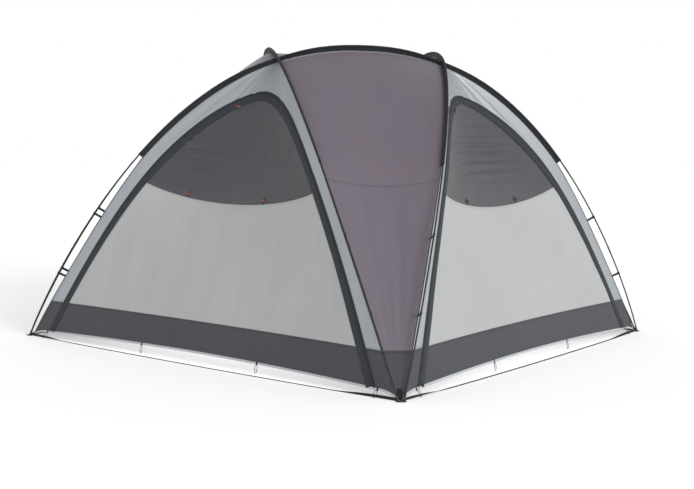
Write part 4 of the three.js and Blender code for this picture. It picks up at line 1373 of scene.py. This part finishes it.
print("pegging loops:", len(ANGLE_OF_SIDE) * len(LOOP_PLACES))

# %% [markdown]
# A slider is a small die casting. Its body is a block with a raised crown, under which the pull
# hangs: a short webbing tab with a moulded grip, that lies down along the coil.

# %% Zip sliders
SLIDER = {"height": 0.120, "length": 0.022, "width": 0.013, "thickness": 0.007, "lift": 0.0025}
PULL_LENGTH, PULL_WIDTH, PULL_THICKNESS = 0.046, 0.006, 0.0018
PULL_START, PULL_NECK, PULL_GRIP_FROM = 0.004, 0.62, 0.55

casting = block("slider", MOULDING,
                (SLIDER["width"], SLIDER["length"], SLIDER["thickness"] * 0.7),
                (0, 0, SLIDER["lift"] + SLIDER["thickness"] * 0.35))
pick(casting, "FACE", lambda face: face.normal.z > 0.9)
sink(3 * MM, (0, 0, SLIDER["thickness"] * 0.3))
bpy.ops.transform.resize(value=(0.7, 0.8, 1))
pick(casting, "FACE", lambda face: face.normal.y < -0.9
     and face.calc_center_median().z < SLIDER["thickness"])
bpy.ops.transform.resize(value=(0.72, 1, 1))
finished(casting, 0.6 * MM)

height = SLIDER["height"]
start, ahead = (side_point(float(zip_half(height + step)), height + step) for step in (-MM, MM))
upward = unit(ahead - start)
across = unit(np.cross(upward, side_normal(float(zip_half(height)), height)))
step = np.linspace(0, 1, 11)
widths = PULL_WIDTH * np.where(step > PULL_GRIP_FROM, 1.0, PULL_NECK)
outlines = np.stack([strip_outline(each, PULL_THICKNESS) for each in widths])
y = -SLIDER["length"] / 2 + PULL_START - PULL_LENGTH * step
z = SLIDER["lift"] + SLIDER["thickness"] - PULL_THICKNESS
centres = np.stack([0 * y, y, z + 0 * y], -1)
for side, angle in ANGLE_OF_SIDE.items():
    matrix = frame_matrix(side_point(float(zip_half(height)), height), across, upward,
                          np.cross(across, upward), angle)
    dress(placed(casting, f"{side}_slider_body", matrix), f"{side}_zip_slider",
          f"{side}_slider")
    pull = sweep(f"{side}_slider_pull", centres, (1, 0, 0), (0, 0, 1), outlines, MOULDING)
    pull.data.transform(matrix)
    dress(pull, body=f"{side}_slider")
bpy.data.objects.remove(casting)
print("sliders:", len(ANGLE_OF_SIDE))

# %% [markdown]
# When a window's blind or the door is rolled up, short barrel toggles through elastic loops hold
# the roll. Two stand on each sill and one hangs from the band, high on the left. They are orange on the
# front and back, dark on the other two sides.

# %% Toggles
TOGGLE_LENGTH, TOGGLE_RADIUS, TOGGLE_WAIST = 0.038, 0.0060, 0.75
TOGGLE_LIFT = 9 * MM
TOGGLE_TAB = {"width": 0.014, "length": 0.050, "rise": 1.6 * MM, "lift": 1.0 * MM, "bulge": 3.2 * MM}
SILL_TOGGLES = {"left": -0.46, "right": 0.33}
ABOVE_SILL = 0.030
ARCH_TOGGLE = -0.13

bpy.ops.mesh.primitive_cylinder_add(vertices=16, radius=TOGGLE_RADIUS, depth=TOGGLE_LENGTH,
                                    rotation=(0, math.pi / 2, 0))
barrel = taken_up("toggle", DARK_TOGGLE)
pick(barrel, "FACE", lambda face: abs(face.normal.x) > 0.9)
bpy.ops.mesh.inset(thickness=1.2 * MM)
for cut in (-0.16, 0.16):
    bpy.ops.mesh.select_all(action="SELECT")
    bpy.ops.mesh.bisect(plane_co=(cut * TOGGLE_LENGTH, 0, 0), plane_no=(1, 0, 0))
pick(barrel, "FACE", lambda face: abs(face.calc_center_median().x) < 0.15 * TOGGLE_LENGTH)
bpy.ops.transform.resize(value=(1, TOGGLE_WAIST, TOGGLE_WAIST))
finished(barrel, 0.8 * MM)


def toggle(side, name, x, z):
    """A barrel on the cloth, X across, Y up and Z out of it, with the tab that holds it."""
    angle, normal = ANGLE_OF_SIDE[side], side_normal(x, z)
    upward = unit(side_point(x, z + 2 * MM) - side_point(x, z - 2 * MM))
    across = unit(np.cross(upward, normal))
    place = side_cloth_point(np.array(x), np.array(z), side, TOGGLE_LIFT)
    piece = placed(barrel, f"{side}_toggle_{name}", frame_matrix(
        place, across, np.cross(normal, across), normal, angle))
    piece.data.materials[0] = ORANGE if side in ("front", "back") else DARK_TOGGLE
    heights = z + TOGGLE_TAB["length"] * np.linspace(0.5, -0.5, 9)
    xs = np.full_like(heights, x)
    lift = TOGGLE_TAB["lift"] + TOGGLE_TAB["bulge"] * np.sin(np.linspace(0, math.pi, 9))
    line = side_cloth_point(xs, heights, side, lift), side_normal(xs, heights)
    tab = strip(f"{side}_toggle_tab_{name}", line, TOGGLE_TAB["width"], TOGGLE_TAB["rise"],
                ELASTIC, angle)
    dress(piece, door=side)
    dress(tab, door=side)


for side in SIDES:
    for name, share in SILL_TOGGLES.items():
        z = float(sill(share)) + ABOVE_SILL
        toggle(side, name, share * float(door_half(z)), z)
    x, z = zip_line(np.array([ARCH_TOGGLE]), HEM_HEIGHT, BAND_WIDTH * 0.9)[0]
    toggle(side, "arch", float(x), float(z))
bpy.data.objects.remove(barrel)
print("toggles:", len(SIDES) * 3)
